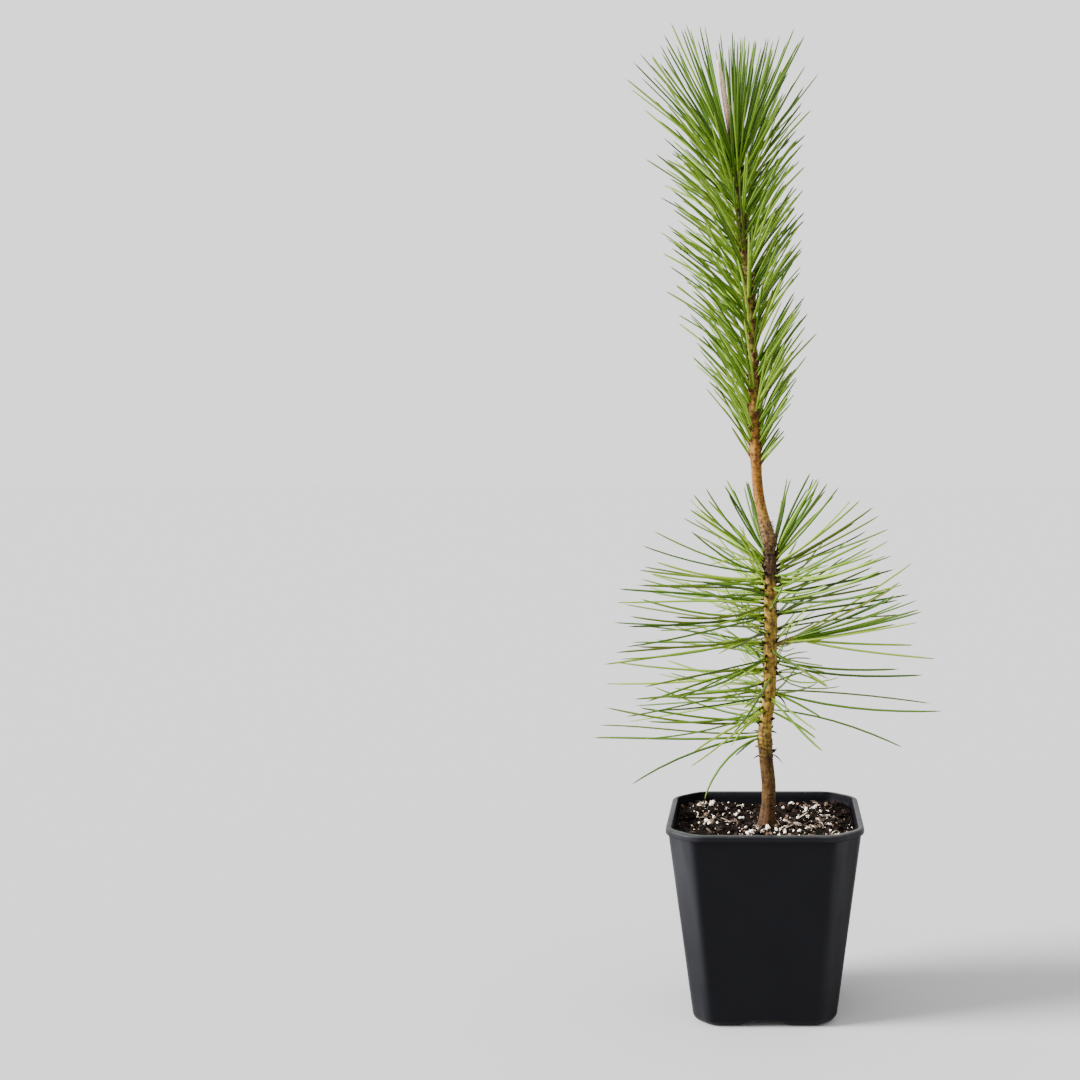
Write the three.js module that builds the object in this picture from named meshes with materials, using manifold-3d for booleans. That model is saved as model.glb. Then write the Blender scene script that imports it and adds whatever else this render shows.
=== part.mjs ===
// A young black pine of two years' growth in a square plastic nursery pot.
// Millimetres, +Z up. The pot stands on z = 0 with its centre on the Z axis, and its front faces -Y.

import * as THREE from "three";
import { mergeVertices } from "three/addons/utils/BufferGeometryUtils.js";
import Module from "manifold-3d";

const wasm = await Module();
wasm.setup();

const { degToRad, lerp, clamp, smoothstep } = THREE.MathUtils;

// Gap that neighbouring solids keep
const GAP = 0.3;
// A vertex nearer to the axis of its blank than this lies on it
const ON_AXIS = 1e-6;
// How far a cutting shape runs past what it cuts
const OVERRUN = 1;

// Pot: a moulded shell with cut corners, a turned-out lip and four feet
const POT_HEIGHT = 103.5;
const LIP_HALF = 51;
const LIP_DEPTH = 4.5;
const LIP_EDGE = 0.5;
const LIP_CORNER = 13.9;
const NECK_HALF = 49.2;
const NECK_CORNER = 11.6;
const FOOT_HALF = 37;
const FOOT_CORNER = 8.2;
const FOOT_RADIUS = 5;
const FOOT_RADIUS_STEPS = 4;
const WALL = 1.2;
const CORNER_SOFTNESS = 3;
const CORNER_STEPS = 2;
const ARCH_HEIGHT = 3;
const ARCH_TOP_HALF = 9.2;
const ARCH_FOOT_HALF = 13.2;
const DRAIN_RADIUS = 3.5;
const DRAIN_SPACING = 22;
const DRAIN_SIDES = 16;

// Potting mix: nearly level round the trunk, heaped up towards the two back corners
const SOIL_LEVEL = 96.6;
const SOIL_LEVEL_RADIUS = 10;
const SOIL_RIPPLE = { height: 0.8, across: 5, along: 6 };
const SOIL_CELLS = 12;
const SOIL_HEAPS = [
  { x: -33, y: 30, rise: 4.2, spread: 15 },
  { x: 30, y: 30, rise: 3.8, spread: 14 },
  { x: 36, y: -18, rise: 1.6, spread: 13 },
  { x: -36, y: -12, rise: 1.2, spread: 13 },
];

// Trunk: where its centre stands at each height, as [height, right, back]
const TRUNK_FOOT = SOIL_LEVEL + GAP;
const TRUNK_TIP = 452;
const TRUNK_LEAN = [
  [TRUNK_FOOT, 0.8, 0.0],
  [114, 1.6, 0.3],
  [144, -0.1, 0.7],
  [167, 2.3, 0.5],
  [200, 2.9, 0.0],
  [238, 2.5, -0.4],
  [255, 0.2, -0.3],
  [273, -3.4, 0.3],
  [301, -5.3, 0.9],
  [346, -6.6, 1.2],
  [381, -9.1, 1.4],
  [416, -12.6, 1.7],
  [TRUNK_TIP, -16.0, 2.0],
];
const FIRST_YEAR = { foot: 3.8, head: 3.55, ends: 251 };
const SECOND_YEAR = { foot: 3.05, head: 2.25, starts: 265 };
const ROOT_FLARE = { rise: 1.9, fade: 5 };
const KNUCKLES = [
  { height: 142, rise: 0.35, spread: 5 },
  { height: 247, rise: 0.3, spread: 7 },
];
const TRUNK_SIDES = 10;
const TRUNK_STEPS = 48;

// Candle: the slender bud that carries on from the trunk's tip
const CANDLE_TIP = [-24.2, 2.4, 498];
const CANDLE_RADIUS = 1.45;
const CANDLE_TAPER = 0.75;
const CANDLE_BLUNTNESS = 3;
const CANDLE_SIDES = 8;
const CANDLE_STEPS = 6;

// Side shoot: one short twig low on the right, with its own bunch of needles
const SHOOT_HEIGHT = 192;
const SHOOT_TIP = [16.9, -1.6, 197.7];
const SHOOT_RADIUS = 1.2;
const SHOOT_END = 0.9;
const SHOOT_SIDES = 8;
const SHOOT_STEPS = 4;
const BUNCH_STEM_LENGTH = 4;
const BUNCH_PAIRS = 7;
const BUNCH_FAN = 33;
const BUNCH_RISE = { low: -4, high: 21 };
const BUNCH_LENGTH = { low: 58, high: 72 };
const BUNCH_PAIR = { turn: 3, rise: 2 };
const BUNCH_BEND = { lift: -4, hook: -5 };

// Needles: pairs that wind up each year's growth by the golden angle
const GOLDEN_ANGLE = 137.508;
const NEEDLE_WIDTH = 1.35;
const NEEDLE_TAPER = 4;
const NEEDLE_HANDLE = 1 / 3;
const NEEDLE_SIDES = 3;
// A three-sided section is as wide as a circle round it of this radius lets it be
const NEEDLE_RADIUS = NEEDLE_WIDTH / Math.sqrt(3);
const PAIR_SPREAD = 9;
const PAIR_STEP = 0.8;
const PAIR_RISE = 1.8;
const PAIR_SHORTER = 0.04;
const LEAN_SHORTENS = 0.008;
const NEEDLE_CLEARANCE = 1.7;
const SAMPLES = 30;
const STEM_RADIUS = 1.25;
const STEM_SIDES = 4;
const STEM_STEP = 10;
const STEM_END = 1.1;
const STEM_GAP = 0.4;
const SECTOR_LIMIT = 42.5;

// How the needles stand, by the height of their root: [height, rise, length, lift, hook, lean].
// Rise is the slope of the straight line from root to tip, in degrees above the horizontal.
// Lift is how much steeper the needle sets out, and hook how much flatter it ends.
// Lean is how much steeper the needles on the right stand than those in front, and the left ones flatter.
const STAND_VALUES = 5;
const FIRST_YEAR_NEEDLES = {
  foot: 142,
  head: 242,
  pairs: 70,
  crowding: 1.65,
  steps: 3,
  scatter: { turn: 16, rise: 10, length: 0.13, bend: 22 },
  stations: [
    [142, -10, 72, 4, 6, 0],
    [158, -5, 82, -5, -5, 0],
    [173, -2, 88, -6, -6, 0],
    [187, 0, 88, -6, -4, 0],
    [198, 3, 85, -4, -4, 0],
    [208, 6, 82, -4, -5, 0],
    [219, 9, 78, -4, -4, 0],
    [228, 14, 74, -4, -6, 0],
    [233, 24, 67, -4, -6, 0],
    [237, 38, 60, -3, -4, 0],
    [242, 62, 46, 0, 0, 0],
  ],
};
const SECOND_YEAR_NEEDLES = {
  foot: 289,
  head: 451,
  pairs: 94,
  crowding: 1.5,
  steps: 2,
  scatter: { turn: 16, rise: 8, length: 0.2, bend: 8 },
  stations: [
    [289, 58, 20, 3, 3, -1],
    [296, 56, 33, 3, 3, -1],
    [304, 53, 43, 4, 4, 1],
    [327, 51, 49, 4, 4, 5],
    [350, 49, 51, 4, 4, 10],
    [374, 46, 52, 4, 4, 9],
    [395, 44, 52, 4, 4, 9],
    [415, 43, 55, 4, 4, 6],
    [431, 46, 61, 3, 3, 5],
    [437, 50, 70, 3, 2, 4],
    [442, 57, 76, 2, 1, 3],
    [447, 69, 72, 1, 0, 3],
    [451, 84, 63, 0, 0, 4],
  ],
};

// Low on the trunk most needles have dropped on the right, and these long ones are what is left:
// [height, azimuth, rise, length, lift, hook]
const THINNED = { below: 188, facing: 0.5 };
const LEFT_THINNED = { below: 153, facing: -0.6 };
const LAST_NEEDLES = [
  [144.5, 181, -0.5, 87.5, -6, 1],
  [146.0, 176, 2, 85, -9, 3],
  [144.0, 166, -23, 77, 12, 13],
  [143.5, 203, -45, 44, 34, 30],
  [143.0, 150, -38, 18, 6, 6],
  [152.0, 178, 5, 82, -13, -6],
  [153.5, 189, 7, 64, -12, -5],
  [154.0, 168, 14, 60, -12, -6],
  [167.5, 358, -6, 88, -11, -7],
  [168.5, 5, -5.5, 83, 5, 4],
  [167.0, 340, -23, 27, 5, 5],
  [158.0, 2, -16.5, 71, 13, 10],
  [157.0, 345, -29, 26, 8, 8],
  [183.0, 357, -4, 77, -12, -8],
  [184.5, 8, -5, 66, -10, -8],
  [173.0, 20, 17, 16, 4, 4],
];

// What varies from pair to pair, each with a row of chances of its own
const TRAIT = { turn: 1, spread: 2, rise: 3, length: 4, bend: 5, split: 6, match: 7, fan: 8, reach: 9 };
const CHANCE_MIX = { index: 12.9898, trait: 78.233, stretch: 43758.5453 };

// Masses: each year's needles are parted by height into tiers, and each tier by its four sides.
// The side shoot leaves the trunk between the second tier and the third.
const TIERS = [
  { name: "lower_1", from: 141, to: 170 },
  { name: "lower_2", from: 170, to: 194 },
  { name: "lower_3", from: 194, to: 221 },
  { name: "lower_4", from: 221, to: 244 },
  { name: "upper_1", from: 286, to: 331 },
  { name: "upper_2", from: 331, to: 372 },
  { name: "upper_3", from: 372, to: 408 },
  { name: "upper_4", from: 408, to: 432 },
  { name: "top_tuft", from: 432, to: 453 },
];
const SIDES = ["right", "back", "left", "front"];
const QUARTER = 90;
const BUNCH_NAME = "needles_side_shoot";

const plastic = new THREE.MeshStandardMaterial({ color: 0x1c1c20, roughness: 0.5, metalness: 0 });
const mix = new THREE.MeshStandardMaterial({ color: 0x2b2019, roughness: 0.95, metalness: 0 });
const bark = new THREE.MeshStandardMaterial({ color: 0x7d542f, roughness: 0.85, metalness: 0 });
const bud = new THREE.MeshStandardMaterial({ color: 0xc9b0a4, roughness: 0.8, metalness: 0 });
const green = new THREE.MeshStandardMaterial({ color: 0x4f7d1c, roughness: 0.5, metalness: 0 });

const group = new THREE.Group();

// A solid from a closed three.js geometry, for joins and cuts
function solidOf(geometry) {
  const bare = geometry.clone();
  bare.deleteAttribute("normal");
  bare.deleteAttribute("uv");
  const closed = mergeVertices(bare);
  const vertProperties = Float32Array.from(closed.getAttribute("position").array);
  const triVerts = Uint32Array.from(closed.getIndex().array);
  return new wasm.Manifold(new wasm.Mesh({ numProp: 3, vertProperties, triVerts }));
}

// The three.js geometry of a solid's outer skin: sealed hollows are filled and loose scraps dropped
function geometryOf(solid) {
  const larger = (best, piece) => (piece.volume() > best.volume() ? piece : best);
  const mesh = solid.decompose().reduce(larger).getMesh();
  const geometry = new THREE.BufferGeometry();
  geometry.setAttribute("position", new THREE.BufferAttribute(Float32Array.from(mesh.vertProperties), 3));
  geometry.setIndex(new THREE.BufferAttribute(Uint32Array.from(mesh.triVerts), 1));
  geometry.computeVertexNormals();
  return geometry;
}

function addMesh(name, geometry, material) {
  const mesh = new THREE.Mesh(geometry, material);
  mesh.name = name;
  group.add(mesh);
}

// A cylinder or cone of height 1 carried to a new shape: point(run, turn, rim) gives where each vertex goes,
// with run from 0 at the foot to 1 at the head, turn in radians, and rim 0 on the axis or 1 on the wall
function reshape(blank, point) {
  const position = blank.getAttribute("position");
  for (let i = 0; i < position.count; i += 1) {
    const across = position.getX(i);
    const ahead = position.getZ(i);
    const rim = Math.hypot(across, ahead) > ON_AXIS ? 1 : 0;
    const spot = point(position.getY(i) + 0.5, Math.atan2(across, ahead), rim);
    position.setXYZ(i, spot.x, spot.y, spot.z);
  }
  return blank;
}

// A solid through rings of points, foot first, each ring listed against the clock
function loft(rings) {
  const sides = rings[0].length;
  const steps = rings.length - 1;
  const blank = new THREE.CylinderGeometry(1, 1, 1, sides, steps);
  return reshape(blank, (run, turn, rim) => {
    const ring = rings[Math.round(run * steps)];
    const index = (Math.round((turn / (2 * Math.PI)) * sides) + sides) % sides;
    return rim ? ring[index] : new THREE.Vector3(0, 0, ring[0].z);
  });
}

// An upright limb: centreAt(run) and radiusAt(run) for run from 0 at its foot to 1 at its head,
// with level rings that start at the angle from
function limb(blank, centreAt, radiusAt, from = 0) {
  return reshape(blank, (run, turn, rim) => {
    const radius = radiusAt(run) * rim;
    const angle = turn + from;
    return centreAt(run).add(new THREE.Vector3(Math.cos(angle) * radius, Math.sin(angle) * radius, 0));
  });
}

// Square of the given half width with its corners cut and softened, as a ring at one height
function potRing(half, corner, height) {
  const shape = new THREE.Shape();
  const near = half - corner;
  const soft = CORNER_SOFTNESS;
  const slant = soft * Math.SQRT1_2;
  for (let quarter = 0; quarter < SIDES.length; quarter += 1) {
    const turn = degToRad(quarter * QUARTER);
    const spot = (x, y) => [x * Math.cos(turn) - y * Math.sin(turn), x * Math.sin(turn) + y * Math.cos(turn)];
    const start = spot(half, near - soft);
    if (quarter === 0) {
      shape.moveTo(...start);
    } else {
      shape.lineTo(...start);
    }
    shape.quadraticCurveTo(...spot(half, near), ...spot(half - slant, near + slant));
    shape.lineTo(...spot(near + slant, half - slant));
    shape.quadraticCurveTo(...spot(near, half), ...spot(near - soft, half));
  }
  const points = shape.getPoints(CORNER_STEPS);
  return points.map((point) => new THREE.Vector3(point.x, point.y, height));
}

// The pot's tapered body, shrunk inwards by inset, from its rounded foot up to a given height
function potBody(inset, top) {
  const rings = [];
  const radius = FOOT_RADIUS - inset;
  const neckHeight = POT_HEIGHT - LIP_DEPTH;
  const ringAt = (height, tuck) => {
    const share = height / neckHeight;
    const half = lerp(FOOT_HALF, NECK_HALF, share) - inset - tuck;
    return potRing(half, lerp(FOOT_CORNER, NECK_CORNER, share) - tuck / 2, height);
  };
  for (let step = 0; step <= FOOT_RADIUS_STEPS; step += 1) {
    const turn = (step / FOOT_RADIUS_STEPS) * (Math.PI / 2);
    rings.push(ringAt(inset + radius * (1 - Math.cos(turn)), radius * (1 - Math.sin(turn))));
  }
  rings.push(ringAt(top, 0));
  return solidOf(loft(rings));
}

// Two crossing arches under the pot, which leave its four feet, grown outwards by a margin
function archesUnder(margin) {
  const shape = new THREE.Shape();
  shape.moveTo(-ARCH_FOOT_HALF - margin, -OVERRUN);
  shape.lineTo(ARCH_FOOT_HALF + margin, -OVERRUN);
  shape.lineTo(ARCH_FOOT_HALF + margin, 0);
  shape.lineTo(ARCH_TOP_HALF + margin, ARCH_HEIGHT + margin);
  shape.lineTo(-ARCH_TOP_HALF - margin, ARCH_HEIGHT + margin);
  shape.lineTo(-ARCH_FOOT_HALF - margin, 0);
  const depth = 2 * POT_HEIGHT;
  const bar = new THREE.ExtrudeGeometry(shape, { depth, bevelEnabled: false });
  bar.translate(0, 0, -depth / 2).rotateX(Math.PI / 2);
  const crossing = bar.clone().rotateZ(Math.PI / 2);
  return solidOf(bar).add(solidOf(crossing));
}

function lipBand() {
  const foot = POT_HEIGHT - LIP_DEPTH;
  const corner = LIP_CORNER;
  const rings = [
    potRing(LIP_HALF - LIP_EDGE, corner, foot),
    potRing(LIP_HALF, corner, foot + LIP_EDGE),
    potRing(LIP_HALF, corner, POT_HEIGHT - LIP_EDGE),
    potRing(LIP_HALF - LIP_EDGE, corner, POT_HEIGHT),
  ];
  return solidOf(loft(rings));
}

function drainHole(x, y) {
  const hole = new THREE.CylinderGeometry(DRAIN_RADIUS, DRAIN_RADIUS, 2 * FOOT_RADIUS, DRAIN_SIDES);
  return solidOf(hole.rotateX(Math.PI / 2).translate(x, y, FOOT_RADIUS));
}

function makePot() {
  const hollow = potBody(WALL, POT_HEIGHT + OVERRUN).subtract(archesUnder(WALL));
  let pot = potBody(0, POT_HEIGHT - LIP_EDGE).add(lipBand()).subtract(hollow).subtract(archesUnder(0));
  pot = pot.subtract(drainHole(0, 0));
  for (let side = 0; side < SIDES.length; side += 1) {
    const turn = degToRad(side * QUARTER);
    pot = pot.subtract(drainHole(DRAIN_SPACING * Math.cos(turn), DRAIN_SPACING * Math.sin(turn)));
  }
  addMesh("pot", geometryOf(pot), plastic);
}

// Height of the potting mix: level near the trunk, then heaps and a gentle ripple
function soilHeight(x, y) {
  const away = smoothstep(Math.hypot(x, y), SOIL_LEVEL_RADIUS, 2 * SOIL_LEVEL_RADIUS);
  let height = SOIL_RIPPLE.height * Math.sin(x / SOIL_RIPPLE.across) * Math.cos(y / SOIL_RIPPLE.along);
  for (const heap of SOIL_HEAPS) {
    const distance = Math.hypot(x - heap.x, y - heap.y) / heap.spread;
    height += heap.rise * Math.exp(-distance * distance);
  }
  return SOIL_LEVEL + away * height;
}

function makeSoil() {
  const width = 2 * LIP_HALF;
  const block = new THREE.BoxGeometry(width, width, width, SOIL_CELLS, SOIL_CELLS, 1);
  const position = block.getAttribute("position");
  for (let i = 0; i < position.count; i += 1) {
    const top = position.getZ(i) > 0;
    position.setZ(i, top ? soilHeight(position.getX(i), position.getY(i)) : -1);
  }
  const inside = potBody(WALL + GAP, POT_HEIGHT).subtract(archesUnder(WALL + GAP));
  addMesh("potting_mix", geometryOf(inside.intersect(solidOf(block))), mix);
}

const leanHeights = TRUNK_LEAN.map(([height]) => height);
const leanOffsets = TRUNK_LEAN.flatMap(([, right, back]) => [right, back]);
const leanCurve = new THREE.CubicInterpolant(leanHeights, leanOffsets, 2, new Float64Array(2));

// Centre of the trunk at a height
function trunkCentre(height) {
  const [right, back] = leanCurve.evaluate(clamp(height, TRUNK_FOOT, TRUNK_TIP));
  return new THREE.Vector3(right, back, height);
}

// Radius of the trunk: two years' tapers, the flare over the roots and the knuckles of old whorls
function trunkRadius(height) {
  const firstRise = (height - TRUNK_FOOT) / (FIRST_YEAR.ends - TRUNK_FOOT);
  const first = lerp(FIRST_YEAR.foot, FIRST_YEAR.head, firstRise);
  const secondRise = (height - SECOND_YEAR.starts) / (TRUNK_TIP - SECOND_YEAR.starts);
  const second = lerp(SECOND_YEAR.foot, SECOND_YEAR.head, secondRise);
  let radius = lerp(first, second, smoothstep(height, FIRST_YEAR.ends, SECOND_YEAR.starts));
  radius += ROOT_FLARE.rise * Math.exp((TRUNK_FOOT - height) / ROOT_FLARE.fade);
  for (const knuckle of KNUCKLES) {
    radius += knuckle.rise * Math.exp(-(((height - knuckle.height) / knuckle.spread) ** 2));
  }
  return radius;
}

function makeTrunk() {
  const heightAt = (run) => lerp(TRUNK_FOOT, TRUNK_TIP, run);
  const blank = new THREE.CylinderGeometry(1, 1, 1, TRUNK_SIDES, TRUNK_STEPS);
  const centreAt = (run) => trunkCentre(heightAt(run));
  const radiusAt = (run) => trunkRadius(heightAt(run));
  addMesh("trunk", limb(blank, centreAt, radiusAt), bark);
}

// Straight line from one point to another, for the bud and the side shoot
function between(start, end) {
  return (run) => start.clone().lerp(end, run);
}

const candleFoot = trunkCentre(TRUNK_TIP).add(new THREE.Vector3(0, 0, GAP));
const candleTip = new THREE.Vector3(...CANDLE_TIP);
const candleLine = between(candleFoot, candleTip);

function makeCandle() {
  const taper = (run) => Math.sqrt(1 - run ** CANDLE_BLUNTNESS) * lerp(1, CANDLE_TAPER, run);
  const radiusAt = (run) => CANDLE_RADIUS * taper(run);
  const blank = new THREE.ConeGeometry(1, 1, CANDLE_SIDES, CANDLE_STEPS);
  addMesh("candle", limb(blank, candleLine, radiusAt), bud);
}

// A twig or needle set across the upright: its rings stand square to its own line
function strand(curve, side, radiusAt, blank) {
  return reshape(blank, (run, turn, rim) => {
    const along = curve.getTangent(run);
    const over = new THREE.Vector3().crossVectors(along, side).normalize();
    const radius = radiusAt(run) * rim;
    return curve
      .getPoint(run)
      .addScaledVector(side, Math.cos(turn) * radius)
      .addScaledVector(over, Math.sin(turn) * radius);
  });
}

const shootTip = new THREE.Vector3(...SHOOT_TIP);
const shootAxis = trunkCentre(SHOOT_HEIGHT);
const shootOut = shootTip.clone().sub(shootAxis).normalize();
const shootSide = new THREE.Vector3(-shootOut.y, shootOut.x, 0).normalize();
// From the trunk's axis to the shoot's foot, where the upper rim of its cut end is a gap off the bark
const shootLevel = Math.hypot(shootOut.x, shootOut.y);
const shootStart = (trunkRadius(SHOOT_HEIGHT) + GAP + SHOOT_RADIUS * shootOut.z) / shootLevel;
const shootLine = new THREE.LineCurve3(shootAxis.clone().addScaledVector(shootOut, shootStart), shootTip);

function makeSideShoot() {
  const blank = new THREE.CylinderGeometry(1, 1, 1, SHOOT_SIDES, SHOOT_STEPS);
  const radiusAt = (run) => SHOOT_RADIUS * lerp(SHOOT_END, 1, Math.sin(Math.PI * run));
  addMesh("side_shoot", strand(shootLine, shootSide, radiusAt, blank), bark);
}

// A repeatable number between 0 and 1 for one trait of one pair of needles
function chance(index, trait) {
  const value = Math.sin(index * CHANCE_MIX.index + trait * CHANCE_MIX.trait) * CHANCE_MIX.stretch;
  return value - Math.floor(value);
}

// The same, spread evenly from minus half to plus half of a width
function scatter(index, trait, width) {
  return (chance(index, trait) - 0.5) * width;
}

// Direction for an azimuth, 0 to the right and 90 to the back, and a rise above the horizontal
function heading(azimuth, rise) {
  const flat = Math.cos(degToRad(rise));
  const turn = degToRad(azimuth);
  return new THREE.Vector3(Math.cos(turn) * flat, Math.sin(turn) * flat, Math.sin(degToRad(rise)));
}

// A needle's line: it sets out lift degrees steeper than its chord and ends hook degrees flatter
function needleLine(start, root, needle) {
  const { azimuth, rise, length, lift, hook } = needle;
  const handle = length * NEEDLE_HANDLE;
  const tip = root.clone().addScaledVector(heading(azimuth, rise), length);
  const first = root.clone().addScaledVector(heading(azimuth, rise + lift), handle);
  const last = tip.clone().addScaledVector(heading(azimuth, rise - hook), -handle);
  return new THREE.CubicBezierCurve3(start, first, last, tip);
}

function needleSolid(entry) {
  const blank = new THREE.ConeGeometry(1, 1, NEEDLE_SIDES, entry.needle.steps);
  const side = heading(entry.needle.azimuth + QUARTER, 0);
  const radiusAt = (run) => NEEDLE_RADIUS * (1 - run ** NEEDLE_TAPER);
  return solidOf(strand(entry.line, side, radiusAt, blank));
}

// The pairs of one year's growth: heights crowd towards the head, azimuths wind by the golden angle
function yearOfNeedles(year) {
  const heights = year.stations.map(([height]) => height);
  const values = year.stations.flatMap((station) => station.slice(1));
  const stand = new THREE.LinearInterpolant(heights, values, STAND_VALUES, new Float64Array(STAND_VALUES));
  const needles = [];
  for (let index = 0; index < year.pairs; index += 1) {
    const share = index / (year.pairs - 1);
    const height = lerp(year.foot, year.head, 1 - (1 - share) ** year.crowding);
    const [rise, length, lift, hook, lean] = stand.evaluate(height);
    const quarter = index * GOLDEN_ANGLE + scatter(index, TRAIT.turn, year.scatter.turn);
    const facing = Math.cos(degToRad(quarter));
    const spread = scatter(index, TRAIT.spread, 2 * PAIR_SPREAD);
    const slope = rise + lean * facing + scatter(index, TRAIT.rise, year.scatter.rise);
    const shortening = 1 - chance(index, TRAIT.length) * year.scatter.length;
    const reach = length * shortening * (1 - facing * lean * LEAN_SHORTENS);
    const bend = scatter(index, TRAIT.bend, year.scatter.bend);
    const split = PAIR_RISE * (1 + chance(index, TRAIT.split));
    for (const hand of [-1, 1]) {
      needles.push({
        steps: year.steps,
        height: height + hand * PAIR_STEP,
        quarter,
        azimuth: quarter + (hand * spread) / 2,
        rise: slope + hand * split,
        length: reach * (1 - PAIR_SHORTER * hand * chance(index, TRAIT.match)),
        lift: lift + bend,
        hook: hook + bend / 2,
      });
    }
  }
  return needles;
}

function isThinned(needle) {
  const facing = Math.cos(degToRad(needle.quarter));
  const right = needle.height < THINNED.below && facing > THINNED.facing;
  const left = needle.height < LEFT_THINNED.below && facing < LEFT_THINNED.facing;
  return right || left;
}

function lastNeedles() {
  const { steps } = FIRST_YEAR_NEEDLES;
  return LAST_NEEDLES.map(([height, azimuth, rise, length, lift, hook]) => {
    return { steps, height, quarter: azimuth, azimuth, rise, length, lift, hook };
  });
}

// Point of a mass's own stem, a square bar beside the trunk at the middle of its quarter
function stemPoint(height, quarter) {
  const away = trunkRadius(height) + STEM_GAP + STEM_RADIUS * Math.SQRT1_2;
  return trunkCentre(height).addScaledVector(heading(quarter, 0), away);
}

// Which mass a needle belongs to, with its line kept inside that mass's quarter
function placed(needle) {
  const tier = TIERS.find((each) => needle.height >= each.from && needle.height < each.to);
  const side = ((Math.round(needle.quarter / QUARTER) % SIDES.length) + SIDES.length) % SIDES.length;
  const middle = Math.round(needle.quarter / QUARTER) * QUARTER;
  const azimuth = middle + clamp(needle.azimuth - middle, -SECTOR_LIMIT, SECTOR_LIMIT);
  const kept = { ...needle, azimuth };
  const root = trunkCentre(needle.height).addScaledVector(heading(azimuth, 0), trunkRadius(needle.height));
  const line = needleLine(stemPoint(needle.height, middle), root, kept);
  const mass = `needles_${tier.name}_${SIDES[side]}`;
  return { mass, middle, needle: kept, line, dots: line.getPoints(SAMPLES) };
}

// The side shoot's bunch: pairs that fan out beyond its tip
function bunchNeedles() {
  const foot = shootTip.clone().addScaledVector(shootOut, GAP);
  const middle = foot.clone().addScaledVector(shootOut, BUNCH_STEM_LENGTH / 2);
  const entries = [];
  for (let index = 0; index < BUNCH_PAIRS; index += 1) {
    const share = index / (BUNCH_PAIRS - 1);
    for (const hand of [-1, 1]) {
      const needle = {
        steps: FIRST_YEAR_NEEDLES.steps,
        azimuth: lerp(-BUNCH_FAN, BUNCH_FAN, chance(index, TRAIT.fan)) + hand * BUNCH_PAIR.turn,
        rise: lerp(BUNCH_RISE.low, BUNCH_RISE.high, share) + hand * BUNCH_PAIR.rise,
        length: lerp(BUNCH_LENGTH.low, BUNCH_LENGTH.high, chance(index, TRAIT.reach)),
        ...BUNCH_BEND,
      };
      const line = needleLine(middle.clone(), middle, needle);
      entries.push({ mass: BUNCH_NAME, needle, line, dots: line.getPoints(SAMPLES) });
    }
  }
  const stemLine = new THREE.LineCurve3(foot, foot.clone().addScaledVector(shootOut, BUNCH_STEM_LENGTH));
  const blank = new THREE.CylinderGeometry(1, 1, 1, STEM_SIDES, 1);
  return { entries, stem: solidOf(strand(stemLine, shootSide, () => STEM_RADIUS, blank)) };
}

const candleDots = Array.from({ length: SAMPLES }, (_, step) => candleLine(step / (SAMPLES - 1)));
const shootDots = shootLine.getPoints(SAMPLES);

function isNear(dots, others, distance) {
  return dots.some((dot) => others.some((other) => dot.distanceToSquared(other) < distance * distance));
}

// True where a needle would touch the trunk, the candle or the side shoot,
// or where its mass's stem would touch the side shoot
function touchesLimb(entry) {
  const own = entry.mass === BUNCH_NAME;
  const reach = NEEDLE_RADIUS + GAP;
  const dots = entry.dots.slice(1);
  const atTrunk = dots.some((dot) => {
    const centre = trunkCentre(dot.z);
    return dot.z < TRUNK_TIP && Math.hypot(dot.x - centre.x, dot.y - centre.y) < trunkRadius(dot.z) + reach;
  });
  const atCandle = isNear(dots, candleDots, CANDLE_RADIUS + reach + GAP);
  const atShoot = !own && isNear(entry.dots, shootDots, SHOOT_RADIUS + STEM_END + reach + GAP);
  return atTrunk || atCandle || atShoot;
}

// Needles are taken in turn, and one that would touch a limb or another mass is left out
function keptNeedles(candidates) {
  const kept = [];
  for (const entry of candidates) {
    const rivals = kept.filter((other) => other.mass !== entry.mass);
    const crowded = rivals.some((other) => isNear(entry.dots, other.dots, NEEDLE_CLEARANCE));
    if (!crowded && !touchesLimb(entry)) {
      kept.push(entry);
    }
  }
  return kept;
}

// One mass's stem, from just under its lowest root to just over its highest
function massStem(entries) {
  const heights = entries.map((entry) => entry.needle.height);
  const low = Math.min(...heights) - STEM_END;
  const high = Math.max(...heights) + STEM_END;
  const steps = Math.max(1, Math.ceil((high - low) / STEM_STEP));
  const centreAt = (run) => stemPoint(lerp(low, high, run), entries[0].middle);
  const blank = new THREE.CylinderGeometry(1, 1, 1, STEM_SIDES, steps);
  return solidOf(limb(blank, centreAt, () => STEM_RADIUS, Math.PI / STEM_SIDES));
}

function makeNeedles() {
  const bunch = bunchNeedles();
  const wound = [...yearOfNeedles(FIRST_YEAR_NEEDLES), ...yearOfNeedles(SECOND_YEAR_NEEDLES)];
  const standing = [...lastNeedles(), ...wound.filter((needle) => !isThinned(needle))];
  const kept = keptNeedles([...bunch.entries, ...standing.map(placed)]);
  const masses = Map.groupBy(kept, (entry) => entry.mass);
  for (const [name, entries] of masses) {
    let mass = name === BUNCH_NAME ? bunch.stem : massStem(entries);
    for (const entry of entries) {
      mass = mass.add(needleSolid(entry));
    }
    addMesh(name, geometryOf(mass), green);
  }
}

makePot();
makeSoil();
makeTrunk();
makeCandle();
makeSideShoot();
makeNeedles();

export default group;
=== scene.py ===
"""A young black pine of two years' growth in a square plastic nursery pot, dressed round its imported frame.

Shapes are worked out in millimetres, as whole arrays, and go into their meshes in metres.
Heights are above the surface that the pot stands on. Azimuth 0 is to the right and 90 to the back.
"""

import math

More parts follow.
